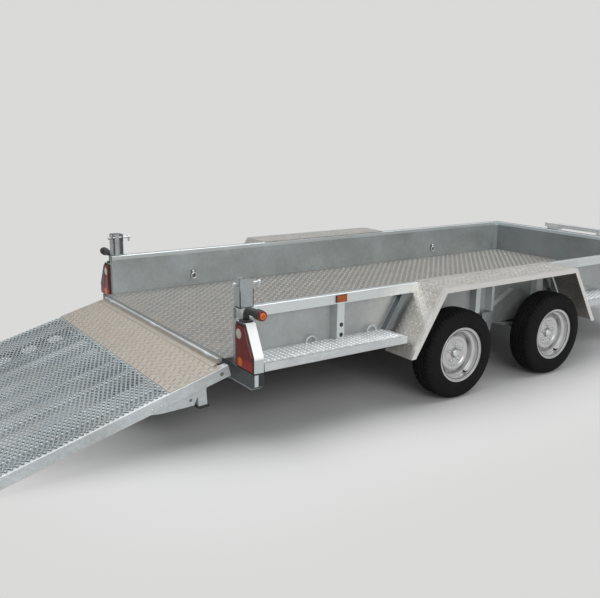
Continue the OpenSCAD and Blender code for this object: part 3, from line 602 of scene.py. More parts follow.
# This zinc is painted far darker than zinc is: painted shade on the axles under the bed and on the brake drums behind
# the wheels; the lashing plates use it too.
dark_zinc = zinc_finish("dark_zinc", (0.085, 0.09, 0.093), (0.17, 0.175, 0.18), 90.0, 0.5, grime_cover=0.6)
hanger_zinc = zinc_finish("hanger_zinc", (0.34, 0.37, 0.385), (0.50, 0.53, 0.545), 90.0, 0.5)
shade_zinc = zinc_finish("shade_zinc", (0.03, 0.033, 0.035), (0.06, 0.065, 0.07), 90.0, 0.5, grime_cover=0.6, metal=0.3)
deck_plate_metal = rolled_finish("deck_plate_metal", (0.195, 0.195, 0.188), (0.275, 0.275, 0.266))
# The deck bars are a lighter copy of the deck plate's finish: painted highlight on the bars.
deck_bar_lit_metal = rolled_finish("deck_bar_lit_metal", (0.37, 0.37, 0.358), (0.49, 0.486, 0.47), rough=(0.3, 0.15))
ramp_plate_metal = rolled_finish("ramp_plate_metal", (0.39, 0.357, 0.31), (0.53, 0.49, 0.43), streak=(60.0, 2.0, 60.0))
# The ramp bars are a darker copy of the ramp plate's finish: painted shade on the bars.
ramp_bar_shaded_metal = rolled_finish("ramp_bar_shaded_metal", (0.315, 0.288, 0.252), (0.43, 0.395, 0.35), rough=(0.3, 0.15))
# The mudguard's outer edge is a painted highlight.
guard_metal = rolled_finish("guard_metal", (0.61, 0.588, 0.553), (0.82, 0.793, 0.745), metal=0.85, rough=(0.24, 0.16),
                            streak=(3.0, 26.0, 6.0), edge=(1.188, (0.80, 0.79, 0.775)))
step_metal = zinc_finish("step_metal", (0.57, 0.60, 0.61), (0.74, 0.765, 0.775), 110.0, 0.3)
# The buttons are a lighter copy of the step's zinc: painted highlight on the buttons.
button_lit_metal = zinc_finish("button_lit_metal", (0.80, 0.83, 0.84), (0.93, 0.945, 0.95), 110.0, 0.3)
print("metal finishes", [m.name for m in (panel_zinc, bright_zinc, frame_zinc, deck_plate_metal)])

# %% [markdown]
# The rest of the finishes: tyre rubber that is dull and a little dusty in
# patches, silver paint on the pressed steel wheels, and the moulded plastics of
# the lamps. Lens plastic is a saturated colour under a clear glossy coat with
# a fine grid of prisms pressed into it.

# %% Rubber, paint and plastic finishes
def plain_finish(name, dark, pale, rough=(0.5, 0.2), size=30.0, metal=0.0, dust=0.25,
                 dust_colour=(0.20, 0.185, 0.165), coat=0.0, shine=0.5):
    """Paint, rubber or plastic: two close tones by soft noise, dust in patches and a fine grain."""
    mat, tree, shader = new_finish(name, Metallic=metal, Coat_Weight=coat, Specular_IOR_Level=shine)
    place = own_place(tree)
    soft = node(tree, "ShaderNodeTexNoise", Vector=place, Scale=size, Detail=5.0, Roughness=0.55)
    tone = ramp(tree, soft.outputs["Fac"], [(0.3, 0.0), (0.7, 1.0)])
    base = blend_colours(tree, tone, dark, pale)
    marks = masks(tree, yard_grime, Size=9.0, Cover=0.5)
    put(tree, blend_colours(tree, marks["Mask"], base, dust_colour, share=dust), shader.inputs["Base Color"])
    put(tree, maths(tree, "MULTIPLY_ADD", tone, rough[1], rough[0]), shader.inputs["Roughness"])
    fine = node(tree, "ShaderNodeTexNoise", Vector=place, Scale=400.0, Detail=2.0)
    bump(tree, shader, fine.outputs["Fac"], 0.2, 0.0005)
    return mat


def lens_finish(name, deep, light, prisms=260.0, coat=0.8, shine=0.5, foot=None):
    """Lens plastic: a deep colour with lighter prism faces in a square grid under a clear coat.

    A foot gives it a lighter colour below a height.
    """
    mat, tree, shader = new_finish(name, Roughness=0.22, Coat_Weight=coat, Specular_IOR_Level=shine)
    grid = node(tree, "ShaderNodeTexVoronoi", Vector=own_place(tree), Scale=prisms, Randomness=0.0)
    tone = ramp(tree, grid.outputs["Distance"], [(0.15, 1.0), (0.7, 0.0)])
    body = blend_colours(tree, tone, deep, light)
    put(tree, below(tree, foot, body) if foot else body, shader.inputs["Base Color"])
    bump(tree, shader, grid.outputs["Distance"], 0.5, 0.0012)
    return mat


tyre_rubber = plain_finish("tyre_rubber", (0.006, 0.006, 0.006), (0.012, 0.012, 0.012), (0.68, 0.2), 20.0,
                           dust=0.05, dust_colour=(0.05, 0.047, 0.043), shine=0.12)
black_rubber = plain_finish("black_rubber", (0.012, 0.012, 0.013), (0.024, 0.024, 0.025), (0.5, 0.2), dust=0.12,
                            dust_colour=(0.09, 0.085, 0.08))
wheel_silver = plain_finish("wheel_silver", (0.60, 0.60, 0.605), (0.68, 0.68, 0.68), (0.28, 0.12), 14.0,
                            metal=0.6, dust=0.18, dust_colour=(0.36, 0.34, 0.31), coat=0.2)
nut_steel = plain_finish("nut_steel", (0.52, 0.54, 0.54), (0.70, 0.72, 0.72), (0.22, 0.15), 90.0, metal=0.8, dust=0.2,
                         dust_colour=(0.22, 0.18, 0.14))
cap_white = plain_finish("cap_white", (0.66, 0.70, 0.70), (0.74, 0.78, 0.78), (0.3, 0.1), 40.0, metal=0.5, dust=0.05)
red_plastic = lens_finish("red_plastic", (0.06, 0.003, 0.004), (0.20, 0.009, 0.008), coat=0.25,
                          shine=0.25, foot=(0.50, (0.26, 0.016, 0.010)))
amber_plastic = lens_finish("amber_plastic", (0.30, 0.05, 0.006), (0.80, 0.19, 0.02), coat=0.4, shine=0.3)
reflector_amber = lens_finish("reflector_amber", (0.16, 0.03, 0.006), (0.72, 0.17, 0.02), prisms=95.0, coat=0.3,
                              shine=0.3)
reflector_base = lens_finish("reflector_base", (0.035, 0.008, 0.004), (0.09, 0.02, 0.008), coat=0.2, shine=0.3)
clear_plastic = lens_finish("clear_plastic", (0.30, 0.24, 0.22), (0.66, 0.60, 0.56))
lamp_silver = zinc_finish("lamp_silver", (0.93, 0.94, 0.945), (0.97, 0.975, 0.98), 120.0, 0.2, metal=0.0,
                          grime_cover=0.1, feet=[(0.514, (0.50, 0.53, 0.535))])
print("finishes in all", len(bpy.data.materials))

# %% [markdown]
# Every node of the CAD model keeps its shape and gets the finish that its
# place on the real trailer has. One table says which.

# %% Finishes of the CAD nodes
node_finish = {
    "deck_plate": deck_plate_metal, "chassis_frame": frame_zinc, "rear_crossmember": cross_zinc,
    "side_panel_left": panel_zinc, "side_panel_right": panel_zinc, "front_panel": board_zinc,
    "bucket_rest": rest_zinc, "drawbar": bright_zinc, "coupling_head": frame_zinc, "jockey_wheel": bright_zinc,
    "ramp_frame": ramp_zinc, "ramp_plate": ramp_plate_metal, "ramp_mesh": mesh_zinc,
    "axle_rear": dark_zinc, "axle_front": dark_zinc,
}
for side, _ in SIDES:
    node_finish.update({
        f"rear_post_{side}": bright_zinc, f"latch_bolt_{side}": frame_zinc, f"lamp_housing_{side}": lamp_silver,
        f"tail_lamp_{side}": red_plastic, f"marker_lamp_{side}": black_rubber, f"mudguard_{side}": guard_metal,
        f"side_step_{side}": step_metal, f"front_step_{side}": step_metal,
        f"side_reflector_{side}": reflector_base, f"rope_hooks_{side}": bright_zinc,
        f"lashing_rings_{side}": bright_zinc, f"suspension_{side}": hanger_zinc,
        f"tyre_rear_{side}": tyre_rubber, f"tyre_front_{side}": tyre_rubber,
        f"rim_rear_{side}": wheel_silver, f"rim_front_{side}": wheel_silver})
for name in frame["nodes"]:
    obj = bpy.data.objects[name]
    finish = node_finish.get(name, bright_zinc)
    if obj.material_slots:
        for material_slot in obj.material_slots:
            material_slot.material = finish
    else:
        obj.data.materials.append(finish)
print("nodes dressed", len(frame["nodes"]), "without a line of their own:",
      [n for n in frame["nodes"] if n not in node_finish])

# %% [markdown]
# Tread plate is rolled with raised bars so that boots and tracks grip when it
# is wet. One bar is a long low lens: a six sided foot and a shorter ridge. It
# is repeated in two sets, the second turned by a right angle and moved by half
# a pitch, which gives the chequered look of the deck. Bars are real shapes
# here, because at a low angle their shadows are what the eye reads.

# %% Raised bar and tread fields
def tread_bar(long, wide, high):
    """One bar: foot points at the ends and the quarter points, ridge points over the middle half."""
    l, w = long / 2000.0, wide / 2000.0
    foot = [(-l, 0, 0), (-l * 0.62, -w, 0), (l * 0.62, -w, 0), (l, 0, 0), (l * 0.62, w, 0), (-l * 0.62, w, 0)]
    ridge = [(-l * 0.58, -w * 0.3, high / 1000.0), (l * 0.58, -w * 0.3, high / 1000.0),
             (l * 0.58, w * 0.3, high / 1000.0), (-l * 0.58, w * 0.3, high / 1000.0)]
    quads = [(1, 2, 7, 6), (4, 5, 9, 8), (6, 7, 8, 9), (0, 1, 6, 9), (3, 4, 8, 7)]
    tris = [(2, 3, 7), (5, 0, 9), (0, 4, 5), (0, 3, 4), (0, 2, 3), (0, 1, 2)]
    return np.array(foot + ridge), [np.array(quads), np.array(tris)]


def chequer_places(a0, a1, b0, b1, pitch, edge=12.0):
    """Middle points and turns of bars on a field a0..a1 by b0..b1.

    One lattice of pitch (a, b) at 45 degrees, and the same half a pitch on at -45 degrees.
    """
    grids = []
    for half in (0.0, 0.5):
        a = np.arange(a0 + edge + half * pitch[0], a1 - edge, pitch[0])
        b = np.arange(b0 + edge + half * pitch[1], b1 - edge, pitch[1])
        grids.append(np.stack(np.meshgrid(a, b, indexing="ij"), -1).reshape(-1, 2))
    return np.concatenate(grids), np.repeat([PI / 4, -PI / 4], [len(g) for g in grids])


def box_mm(name):
    """A node's box with x from the rear edge of the deck, in millimetres."""
    lo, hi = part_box(name)
    return [[(p.x - rear_x) * 1000, p.y * 1000, p.z * 1000] for p in (lo, hi)]


def y_reach(name):
    """Least and greatest distance of a node on one side from the middle plane, in millimetres."""
    lo, hi = box_mm(name)
    return sorted((abs(lo[1]), abs(hi[1])))


tread_pitch = (62.5, 63.0)
deck_lo, deck_hi = box_mm("deck_plate")
places, turns = chequer_places(deck_lo[0] + 2, deck_hi[0] - 2, deck_lo[1] + 4, deck_hi[1] - 4, tread_pitch, 20.0)
deck_bars = stamp(tread_bar(38.0, 12.0, 2.0), bed(places[:, 0], places[:, 1], deck_hi[2] - 0.2), turns)
make_piece("deck_tread_bars", deck_bars, deck_bar_lit_metal, slot="deck_tread")
print("bars on the deck", len(places))

# %% [markdown]
# The ramp has its own frame: u runs down the ramp from the hinge pin and v is
# square to its face. Working in that frame keeps every ramp piece flat on it,
# and one turn puts it in the world.

# %% Ramp frame of reference
hinge = next(j for j in frame["record"]["behaviour"]["joints"] if j["name"] == "ramp_hinge")
pin = np.array(hinge["pos_m"], float)
mesh_lo, mesh_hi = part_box("ramp_mesh")
slope = math.atan2(mesh_hi.z - mesh_lo.z - 0.0037 * 0.96, mesh_hi.x - mesh_lo.x)
print("pin", pin, "slope in degrees", round(math.degrees(slope), 2))


def on_ramp(points):
    """Points (u, y, v) in metres turned by the slope about the pin: u runs down the ramp, v out of its face."""
    p = np.asarray(points, float)
    u, y, v = p[..., 0], p[..., 1], p[..., 2]
    return np.stack([pin[0] - u * math.cos(slope) - v * math.sin(slope), y,
                     pin[2] - u * math.sin(slope) + v * math.cos(slope)], axis=-1)


ramp_face, ramp_plate_end, ramp_half, ramp_length = -0.012, 0.345, 0.944, 1.400
mesh_end = ramp_length - 0.006


def ramp_piece(name, shape, material, smooth=False, **how):
    """A piece that rides on the ramp, from a shape in the ramp's own frame."""
    return make_piece(name, (on_ramp(shape[0]), shape[1]), material, "ramp", smooth=smooth, **how)


print("mesh from u", ramp_plate_end, "to", round(mesh_end, 3), "half width", ramp_half)

# %% [markdown]
# Under the mesh the ramp is a welded frame: two box beams, three cross bars
# with the hinge knuckles on the first, five light channels that run down the
# ramp under the wheels' tracks, and a folded plate channel along each side
# whose foot has oval holes to save weight. Each is a bent sheet or a tube, so
# one outline with rounded corners, drawn out along its length, makes it.

# %% Beams, bars and ribs of the ramp
def along_u(outline, u0, u1):
    """An outline of (y, v) in millimetres drawn out down the ramp from u0 to u1."""
    pts, faces = prism(outline, u0, u1)
    return np.column_stack([pts[:, 2], pts[:, 0], pts[:, 1]]) / 1000.0, faces


def across_ramp(outline, y0, y1):
    """An outline of (u, v) in millimetres drawn out across the ramp from y0 to y1."""
    pts, faces = prism(outline, y0, y1)
    return np.column_stack([pts[:, 0], pts[:, 2], pts[:, 1]]) / 1000.0, faces


def channel(middle, half, low, high, radius=5.0, thick=3.0):
    """Section of a folded channel open below: two legs and a web, of even thickness."""
    line = round_corners([(middle - half, low), (middle - half, high), (middle + half, high), (middle + half, low)],
                         [radius, radius], 4)
    return sheet_section(line, thick)


top = ramp_face * 1000
beam_in, beam_out, beam_deep = 902.0, 950.0, 72.0
head_run, tail_run = (60.0, 325.2), (363.0, 1338.2)
beam = round_box(beam_in, beam_out, top - beam_deep, top - 4.0, 6.0)
steel_parts = [along_u(beam * np.array([side, 1]), -20.0, ramp_length * 1000 + 2.0) for _, side in SIDES]
for u in (22.0, 325.0, 1338.0):
    steel_parts.append(across_ramp(round_box(u, u + 38.0, top - 48.0, top - 4.2, 4.0), -902.5, 902.5))
for y in (-450.0, -225.0, 0.0, 225.0, 450.0):
    steel_parts += [along_u(channel(y, 19.0, top - 46.0, top - 6.0), *run) for run in (head_run, tail_run)]
knuckle_turn = np.radians(np.linspace(-58.0, 212.0, 28))
knuckle = np.concatenate([13.5 * np.column_stack([np.cos(knuckle_turn), np.sin(knuckle_turn)]),
                          [(-2.0, -40.0), (23.0, -40.0), (23.0, -17.0), (14.0, -11.0)]])
steel_parts += [across_ramp(knuckle, y - 40.0, y + 40.0) for y in (-757.0, 0.0, 757.0)]
points, faces = joined(steel_parts)
points = on_ramp(points)
points[:, 2] = np.maximum(points[:, 2], 0.0)
ramp_steel = make_piece("ramp_beams_and_ribs", (points, faces), ramp_zinc, "ramp", smooth=False)
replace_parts(ramp_steel, "ramp_frame")

# %% Side channels of the ramp
def holed_cell(u, y, run, wide, hole, long_hole, v, thick, ring=40):
    """A rectangle run by wide with an oval hole, top and bottom, in metres.

    Each ring point is joined with the rectangle point at the same angle.
    """
    a = np.arange(ring) * 2 * PI / ring
    c, s = np.cos(a), np.sin(a)
    reach = 1 / np.maximum(np.abs(c) / (run / 2), np.abs(s) / (wide / 2))
    outer = np.column_stack([c * reach, s * reach])
    inner = np.column_stack([c * hole, s * hole + np.sign(s) * (long_hole - hole)])
    flat = np.concatenate([outer, inner]) + np.array([u, y])
    pts = np.concatenate([np.column_stack([flat, np.full(2 * ring, v)]),
                          np.column_stack([flat, np.full(2 * ring, v - thick)])]) / 1000.0
    k, k2 = np.arange(ring), (np.arange(ring) + 1) % ring
    faces = np.concatenate([np.stack([k, k2, ring + k2, ring + k], -1),
                            np.stack([ring + k, ring + k2, 3 * ring + k2, 3 * ring + k], -1),
                            np.stack([3 * ring + k, 3 * ring + k2, 2 * ring + k2, 2 * ring + k], -1)])
    return pts, [faces]


channel_start, channel_end, cell_run, cells = 363.5, 1338.0, 185.0, 5
fold = round_corners([(670.0, top - 6.0), (818.5, top - 6.0), (818.5, top - 63.0), (800.0, top - 63.0)], [6, 6], 4)
lip = round_corners([(610.0, top - 46.0), (610.0, top - 63.0), (622.0, top - 63.0)], [5], 4)
end_strip = round_box(621.0, 801.0, top - 64.5, top - 61.5, 1.0)
for label, side in SIDES:
    parts = [along_u(sheet_section(line, 3.0) * np.array([side, 1]), channel_start, channel_end)
             for line in (fold, lip)]
    parts += [holed_cell(485.0 + cell_run * i, side * 711.0, cell_run, 180.0, 48.0, 76.0, top - 61.5, 3.0)
              for i in range(cells)]
    parts += [along_u(end_strip * np.array([side, 1]), *run) for run in ((channel_start, 392.5), (1317.5, channel_end))]
    ramp_piece(f"ramp_side_channel_{label}", joined(parts), ramp_zinc, merge=1e-6)

# %% [markdown]
# A prop under each beam carries the ramp's head when a machine drives on: a
# long gusset cut from plate, a folded leg and a rubber foot. The bolts and the
# pivot hole of the spring sit on the beam's outer face. The holes are flat dark
# discs of painted shade.

# %% Props and bolts of the ramp
low = top - beam_deep
gusset = [(132, 0.3), (480, 0.3), (430, -20), (266, -60), (232, -66), (205, -34), (150, -30)]
leg = [(138, 0.3), (190, 0.3), (212, -92), (160, -104)]
foot = [(150, -98), (222, -82), (220, -92), (216, -98), (152, -112), (147, -108)]
# Each set of round heads: name, face (y), spots as (u, v, radius, height) and finish
head_sets = (("bolts", beam_out, [(412, -46, 8, 6), (466, -44, 8, 6), (300, -62, 6, 4)], bright_zinc),
             # The holes are flat dark discs: painted shade in place of open holes.
             ("holes", beam_out, [(30, -38, 12, 0.4)], shade_zinc),
             ("prop_holes", 940.0, [(243, low - top - 30, 9, 0.4)], shade_zinc))


def under_beam(outline, y0, y1, side):
    """An outline of (u, v below the beam) drawn out across one beam, for either side."""
    return across_ramp(np.array(outline) + np.array([0, low]), *sorted((side * y0, side * y1)))


shape, blocks = low_dome(1.0, 1.0, 14)
for label, side in SIDES:
    prop = joined([under_beam(gusset, 932.0, 940.0, side), under_beam(leg, 916.0, 942.0, side)])
    ramp_piece(f"ramp_prop_{label}", prop, ramp_zinc)
    ramp_piece(f"ramp_foot_{label}", under_beam(foot, 910.0, 946.0, side), black_rubber, slot="rubber")
    for kind, face, spots, finish in head_sets:
        heads = joined([(np.column_stack([u + 1000 * r * shape[:, 0], side * (face + 1000 * h * shape[:, 2]),
                                          top + v + 1000 * r * shape[:, 1]]) / 1000.0, blocks)
                        for u, v, r, h in spots])
        ramp_piece(f"ramp_{kind}_{label}", heads, finish, smooth=True)

# %% Sheet of the ramp plate
half_mm = ramp_half * 1000
sheet = across_ramp(round_box(18.0, ramp_plate_end * 1000 - 0.3, top - 3.7, top, 1.6), -half_mm, half_mm)
ramp_sheet = ramp_piece("ramp_plate_sheet", sheet, ramp_plate_metal, slot="ramp_tread")
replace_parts(ramp_sheet, "ramp_plate")

# %% Tread of the ramp plate
places, turns = chequer_places(20.0, 343.0, -half_mm, half_mm, tread_pitch, 19.0)
flat = np.column_stack([places / 1000, np.full(len(places), ramp_face - 0.0002)])
low_bars = stamp(tread_bar(46.0, 17.0, 1.1), flat, turns)
ramp_piece("ramp_plate_bars", low_bars, ramp_bar_shaded_metal, smooth=True, slot="ramp_tread")

# %% [markdown]
# A narrow folded strip closes the gap between the hinge tube and the plate, so
# that wheels do not drop into it. It follows the tube with little room to
# spare and turns with the ramp.

# %% Apron at the hinge
line = round_corners([(50.0, top + 0.9), (25.0, -4.4), (17.6, 2.0), (15.8, 8.0)], [12, 7], 4)
apron = across_ramp(sheet_section(line, 1.6), -900.0, 900.0)
ramp_piece("ramp_hinge_apron", apron, ramp_plate_metal, slot="ramp_tread")

# %% [markdown]
# The face of the ramp is expanded metal: a sheet is slit in staggered rows and
# pulled, so that each slit opens into a flat diamond. A cell is a ring between
# its outer diamond, which it shares with its neighbours, and a smaller six
# sided opening. The ring has a top, a wall round the opening and a bottom, and
# the strands are tilted a little, as pulling twists them.

# %% Expanded mesh of the ramp
def staggered(columns, y0, y1, pitch):
    """Points (column, y) with y every pitch from y0, and from half a pitch on in every second column."""
    rows = [np.arange(y0 + (i % 2) * pitch / 2, y1, pitch) for i in range(len(columns))]
    return np.column_stack([np.repeat(columns, [len(y) for y in rows]), np.concatenate(rows)])


def mesh_ring(long_way, short_way, strand, thick, twist):
    """One ring of expanded metal; its height falls from its rear to its front strand by twist."""
    a, b = short_way / 2, long_way / 2
    outer = np.array([(-a, 0), (-a / 2, -b / 2), (0, -b), (a / 2, -b / 2),
                      (a, 0), (a / 2, b / 2), (0, b), (-a / 2, b / 2)])
    ia, ib = a - strand * 1.05, b - strand * 2.3
    inner = np.array([(-ia, 0), (-ia * 0.86, -ib * 0.42), (0, -ib), (ia * 0.86, -ib * 0.42),
                      (ia, 0), (ia * 0.86, ib * 0.42), (0, ib), (-ia * 0.86, ib * 0.42)])
    tilt = np.concatenate([np.zeros(8), -twist * inner[:, 0] / a])
    upper = np.column_stack([np.concatenate([outer, inner]), tilt])
    k = np.arange(8)
    k2 = (k + 1) % 8
    faces = [np.stack([p + k, p + k2, q + k2, q + k], -1) for p, q in ((0, 8), (8, 24), (24, 16))]
    return np.concatenate([upper, upper - np.array([0, 0, thick])]), [np.concatenate(faces)]


long_way, short_way = 0.0625, 0.028
mesh_cell = mesh_ring(long_way, short_way, 0.0062, 0.0028, 0.0008)
mesh_half = ramp_half - 0.002
columns = np.arange(ramp_plate_end + short_way / 2, mesh_end - short_way / 2, short_way / 2)
mids = staggered(columns, -mesh_half + long_way / 2, mesh_half - long_way / 2 + 1e-6, long_way)
expanded = stamp(mesh_cell, np.column_stack([mids, np.full(len(mids), ramp_face - 0.0002)]))
ramp_expanded = ramp_piece("ramp_expanded_metal", expanded, mesh_zinc, merge=1e-5)
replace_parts(ramp_expanded, "ramp_mesh")
print("openings in the mesh", len(mids))

# %% [markdown]
# The side steps are galvanised grating plate: low round buttons pressed up in
# rows across the step, every second row moved by half, so that a boot holds
# whichever way it slides; the buttons are a lighter copy of the step's zinc, a
# painted highlight. A row of flat dark lenses behind the folded front edge is
# painted shadow, the shade line between the step's frame and its plate. The
# same field is used on all four steps.

# %% Step buttons and drain slots
button = low_dome(9.4, 3.4)
# A flat dark lens: painted shadow along the outer edge of the step.
step_shadow_lens = low_dome(6.4, 1.4, 12, 3.4)


def step_fields(name, pitch_x=33.2, pitch_y=28.0):
    """Places of the buttons in staggered columns, and of the dark lenses of painted shadow along the outer edge."""
    lo, hi = box_mm(name)
    side = 1 if hi[1] > 0 else -1
    inner, outer = y_reach(name)
    spots = staggered(np.arange(lo[0] + 22, hi[0] - 14, pitch_x), inner + 20, outer - 34, pitch_y)
    x = np.arange(lo[0] + 60, hi[0] - 30, 2 * pitch_x)
    return bed(spots[:, 0], side * spots[:, 1], 481.7), bed(x, side * (outer - 15), 475.9)


for name in ("side_step_left", "side_step_right", "front_step_left", "front_step_right"):
    buttons, slots = step_fields(name)
    make_piece(f"{name}_buttons", stamp(button, buttons), button_lit_metal, slot="tread_plate")
    # The dark lenses, named slots, are painted shadow along the outer edge of the step.
    make_piece(f"{name}_step_shadow_lenses", stamp(step_shadow_lens, slots), shade_zinc, slot="tread_plate")

# %% [markdown]
# Each amber side reflector gets a thin bright face on its darker moulding.
# Black rubber bungs close the two holes of each stanchion: low round heads
# laid with their axis outwards.

# %% Reflector faces and bungs of the stanchions
def heads_out(places, side, radius, high):
    """Heads at (x, y, z) in millimetres with the axis out along Y: local (a, b, h) goes to (x + a, y + h, z + b)."""
    shape, faces = low_dome(radius, high, 14)
    return joined([(bed(x + 1000 * shape[:, 0], side * (y + 1000 * shape[:, 2]), z + 1000 * shape[:, 1]), faces)
                   for x, y, z in places])


patch, patch_faces = prism(round_box(738.0, 808.0, 714.0, 752.0, 4.0), 973.2, 975.2)
for label, side in SIDES:
    make_piece(f"side_reflector_{label}_face", (bed(patch[:, 0], side * patch[:, 2], patch[:, 1]), patch_faces),
               reflector_amber, slot="amber_lens", smooth=False)
    face = y_reach(f"side_panel_{label}")[1]
    bungs = heads_out([(x, face - 0.2, z) for x in (780.0, 3561.0) for z in (505.0, 568.0)], side, 14.0, 3.0)
    make_piece(f"stanchion_bungs_{label}", bungs, black_rubber, slot="rubber")

# %% [markdown]
# On each rear corner a bent plate bracket guides a sliding bolt that locks the
# raised ramp. The bracket is a tall plate with two holed cross plates, an inner
# strap and a foot on the rail; the bolt is a rod with a knob on each end and a
# short flat handle.

# %% Latch brackets and bolts
def along_x_mm(outline, x0, x1, side):
    """An outline of (y, z) in millimetres drawn out along X from x0 to x1, for either side."""
    pts, faces = prism(outline, x0, x1)
    return bed(pts[:, 2], side * pts[:, 0], pts[:, 1]), faces


def along_y_mm(outline, y0, y1, side):
    """An outline of (x, z) in millimetres drawn out along Y from y0 to y1, for either side."""
    pts, faces = prism(outline, y0, y1)
    return bed(pts[:, 0], side * pts[:, 2], pts[:, 1]), faces


def bar_x_mm(x0, x1, y, z, radius, side, bevel, ring=20):
    """A round bar along X with bevelled ends."""
    t = np.array([x0, x0 + bevel, x1 - bevel, x1])
    r = np.array([radius - bevel, radius, radius, radius - bevel])
    phi = np.linspace(0, 2 * PI, ring, endpoint=False)[None]
    pts = bed(t[:, None] + 0 * phi, side * (y + r[:, None] * np.cos(phi)), z + r[:, None] * np.sin(phi)).reshape(-1, 3)
    return pts, [grid_quads(4, ring, False, True), np.arange(ring)[None, ::-1], 3 * ring + np.arange(ring)[None]]


def holed_plate(x, y0, y1, z0, z1, rod_z, side):
    """A plate 4 mm thick across X, with a round hole for the bolt in its middle, over a plain plate down to z0."""
    half_z = z1 - rod_z
    pts, faces = holed_cell((y0 + y1) / 2, rod_z, y1 - y0, 2 * half_z, 9.0, 9.0, x + 4.0, 4.0)
    plain = along_x_mm(round_box(y0, y1, z0, rod_z - half_z, 0.5), x, x + 4.0, side)
    return [(np.column_stack([rear_x + pts[:, 2], side * pts[:, 0], pts[:, 1]]), faces), plain]


rod_y, rod_z, foot_z = 951.0, 893.0, 763.3
web = [(66, foot_z), (66, 925), (130, 925), (152, 920), (152, foot_z)]
post = round_box(923.3, 966.0, 430.3, 700.7, 3.0)
base = round_box(926.0, 984.0, foot_z, foot_z + 5.0, 1.0)
strap = round_box(84.0, 116.0, foot_z, 922.0, 2.0)
lever = round_box(rod_y - 5.0, rod_y + 5.0, rod_z - 30.0, rod_z, 3.0)
rounds = ((52.0, 206.0, 8.0, 1.5), (42.0, 56.0, 11.5, 3.0), (196.0, 214.0, 12.5, 3.0))
for label, side in SIDES:
    plates = joined([along_y_mm(web, 980.0, 984.0, side), along_x_mm(post, 56.0, 96.0, side),
                     along_x_mm(base, 66.0, 152.0, side)]
                    + holed_plate(66.0, 918.0, 984.0, foot_z, 925.0, rod_z, side)
                    + holed_plate(148.0, 930.0, 984.0, foot_z, 920.0, rod_z, side))
    bracket = make_piece(f"latch_bracket_{label}", plates, hanger_zinc, smooth=False)
    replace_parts(bracket, f"rear_post_{label}")
    make_piece(f"latch_strap_{label}", along_y_mm(strap, 920.0, 924.0, side), step_metal, smooth=False)
    rod = joined([bar_x_mm(x0, x1, rod_y, rod_z, radius, side, bevel) for x0, x1, radius, bevel in rounds]
                 + [along_x_mm(lever, 198.0, 208.0, side)])
    bolt = make_piece(f"latch_rod_{label}", rod, bright_zinc, f"latch_bolt_{label}", smooth=False)
    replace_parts(bolt, f"latch_bolt_{label}")

# %% [markdown]
# Lashing rings hang in small plates on the inner faces of the sides. Each has
# a bolt head over a thick ring that lies nearly flat on the panel.

# %% Lashing rings
turn = np.linspace(0, 2 * PI, 40, endpoint=False)
for label, side in SIDES:
    parts, plates = [], []
    for x in (722.0, 3350.0):
        plates.append(along_y_mm(round_box(x - 20.0, x + 20.0, 534.0, 596.0, 9.0), 915.0, 919.5, side))
        loop = np.column_stack([x + 20 * np.cos(turn), 904.5 - 2.0 * np.sin(turn), 550.0 + 22 * np.sin(turn)])
        pts, faces = sweep(loop, 5.0, 12, True)
        parts.append((bed(pts[:, 0], side * pts[:, 1], pts[:, 2]), faces))
        shape, blocks = low_dome(11.0, 11.0, 16)
        parts.append((bed(x + 1000 * shape[:, 0], side * (915.4 - 1000 * shape[:, 2]), 584.0 + 1000 * shape[:, 1]),
                      blocks))
    ring = make_piece(f"lashing_ring_set_{label}", joined(parts), rest_zinc, smooth=False)
    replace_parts(ring, f"lashing_rings_{label}")
    make_piece(f"lashing_plates_{label}", joined(plates), dark_zinc, slot="galvanised_dark", smooth=False)

# %% [markdown]
# The jockey wheel runs on a solid rubber tyre pressed over a steel hub. It is
# one closed section turned about the wheel's own axle.

# %% Tyre of the jockey wheel
jockey_x, jockey_y, jockey_z = 5130.0, 150.0, 110.0
section = np.array([(28.8, 78.0), (28.8, 102.0), (22.0, 110.2), (-22.0, 110.2), (-28.8, 102.0), (-28.8, 78.0)])
solid_tyre = revolve_about_y(section + np.array([jockey_y, 0.0]), 64, jockey_x, jockey_z)
make_piece("jockey_wheel_tyre", solid_tyre, tyre_rubber, slot="rubber", smooth=False)

# %% [markdown]
# The mudguards are folded from the same aluminium tread plate as van floors,
# with finer bars. The bars go on the flat top and on both sloping ends, each
# field in the plane of its own plate.

# %% Mudguard bars
small_bar = tread_bar(26.0, 8.5, 0.45)
guard_in, guard_out, guard_rear, guard_front, slope_run = 972.0, 1172.0, 1398.0, 2705.0, 262.0
guard_pitch = (42.0, 42.0)
for label, side in SIDES:
    lo, hi = box_mm(f"mudguard_{label}")
    drop = math.hypot(slope_run, hi[2] - lo[2])
    cos_slope, sin_slope = slope_run / drop, (hi[2] - lo[2]) / drop
    spots, turn = chequer_places(guard_rear + 4, guard_front - 4, guard_in, guard_out, guard_pitch)
    parts = [stamp(small_bar, bed(spots[:, 0], side * spots[:, 1], hi[2] - 0.2), turn)]
    for end, corner in ((-1, guard_rear), (1, guard_front)):
        spots, turn = chequer_places(4.0, drop - 6, guard_in, guard_out, guard_pitch)
        flat = np.column_stack([spots / 1000, np.full(len(spots), -0.0002)])
        points, blocks = stamp(small_bar, flat, turn)
        along, out, rise = points.T
        x = rear_x + corner / 1000 + end * (along * cos_slope + rise * sin_slope)
        z = hi[2] / 1000 - along * sin_slope + rise * cos_slope
        parts.append((np.column_stack([x, side * out, z]), blocks))
    make_piece(f"mudguard_{label}_bars", joined(parts), guard_metal, slot="tread_plate")

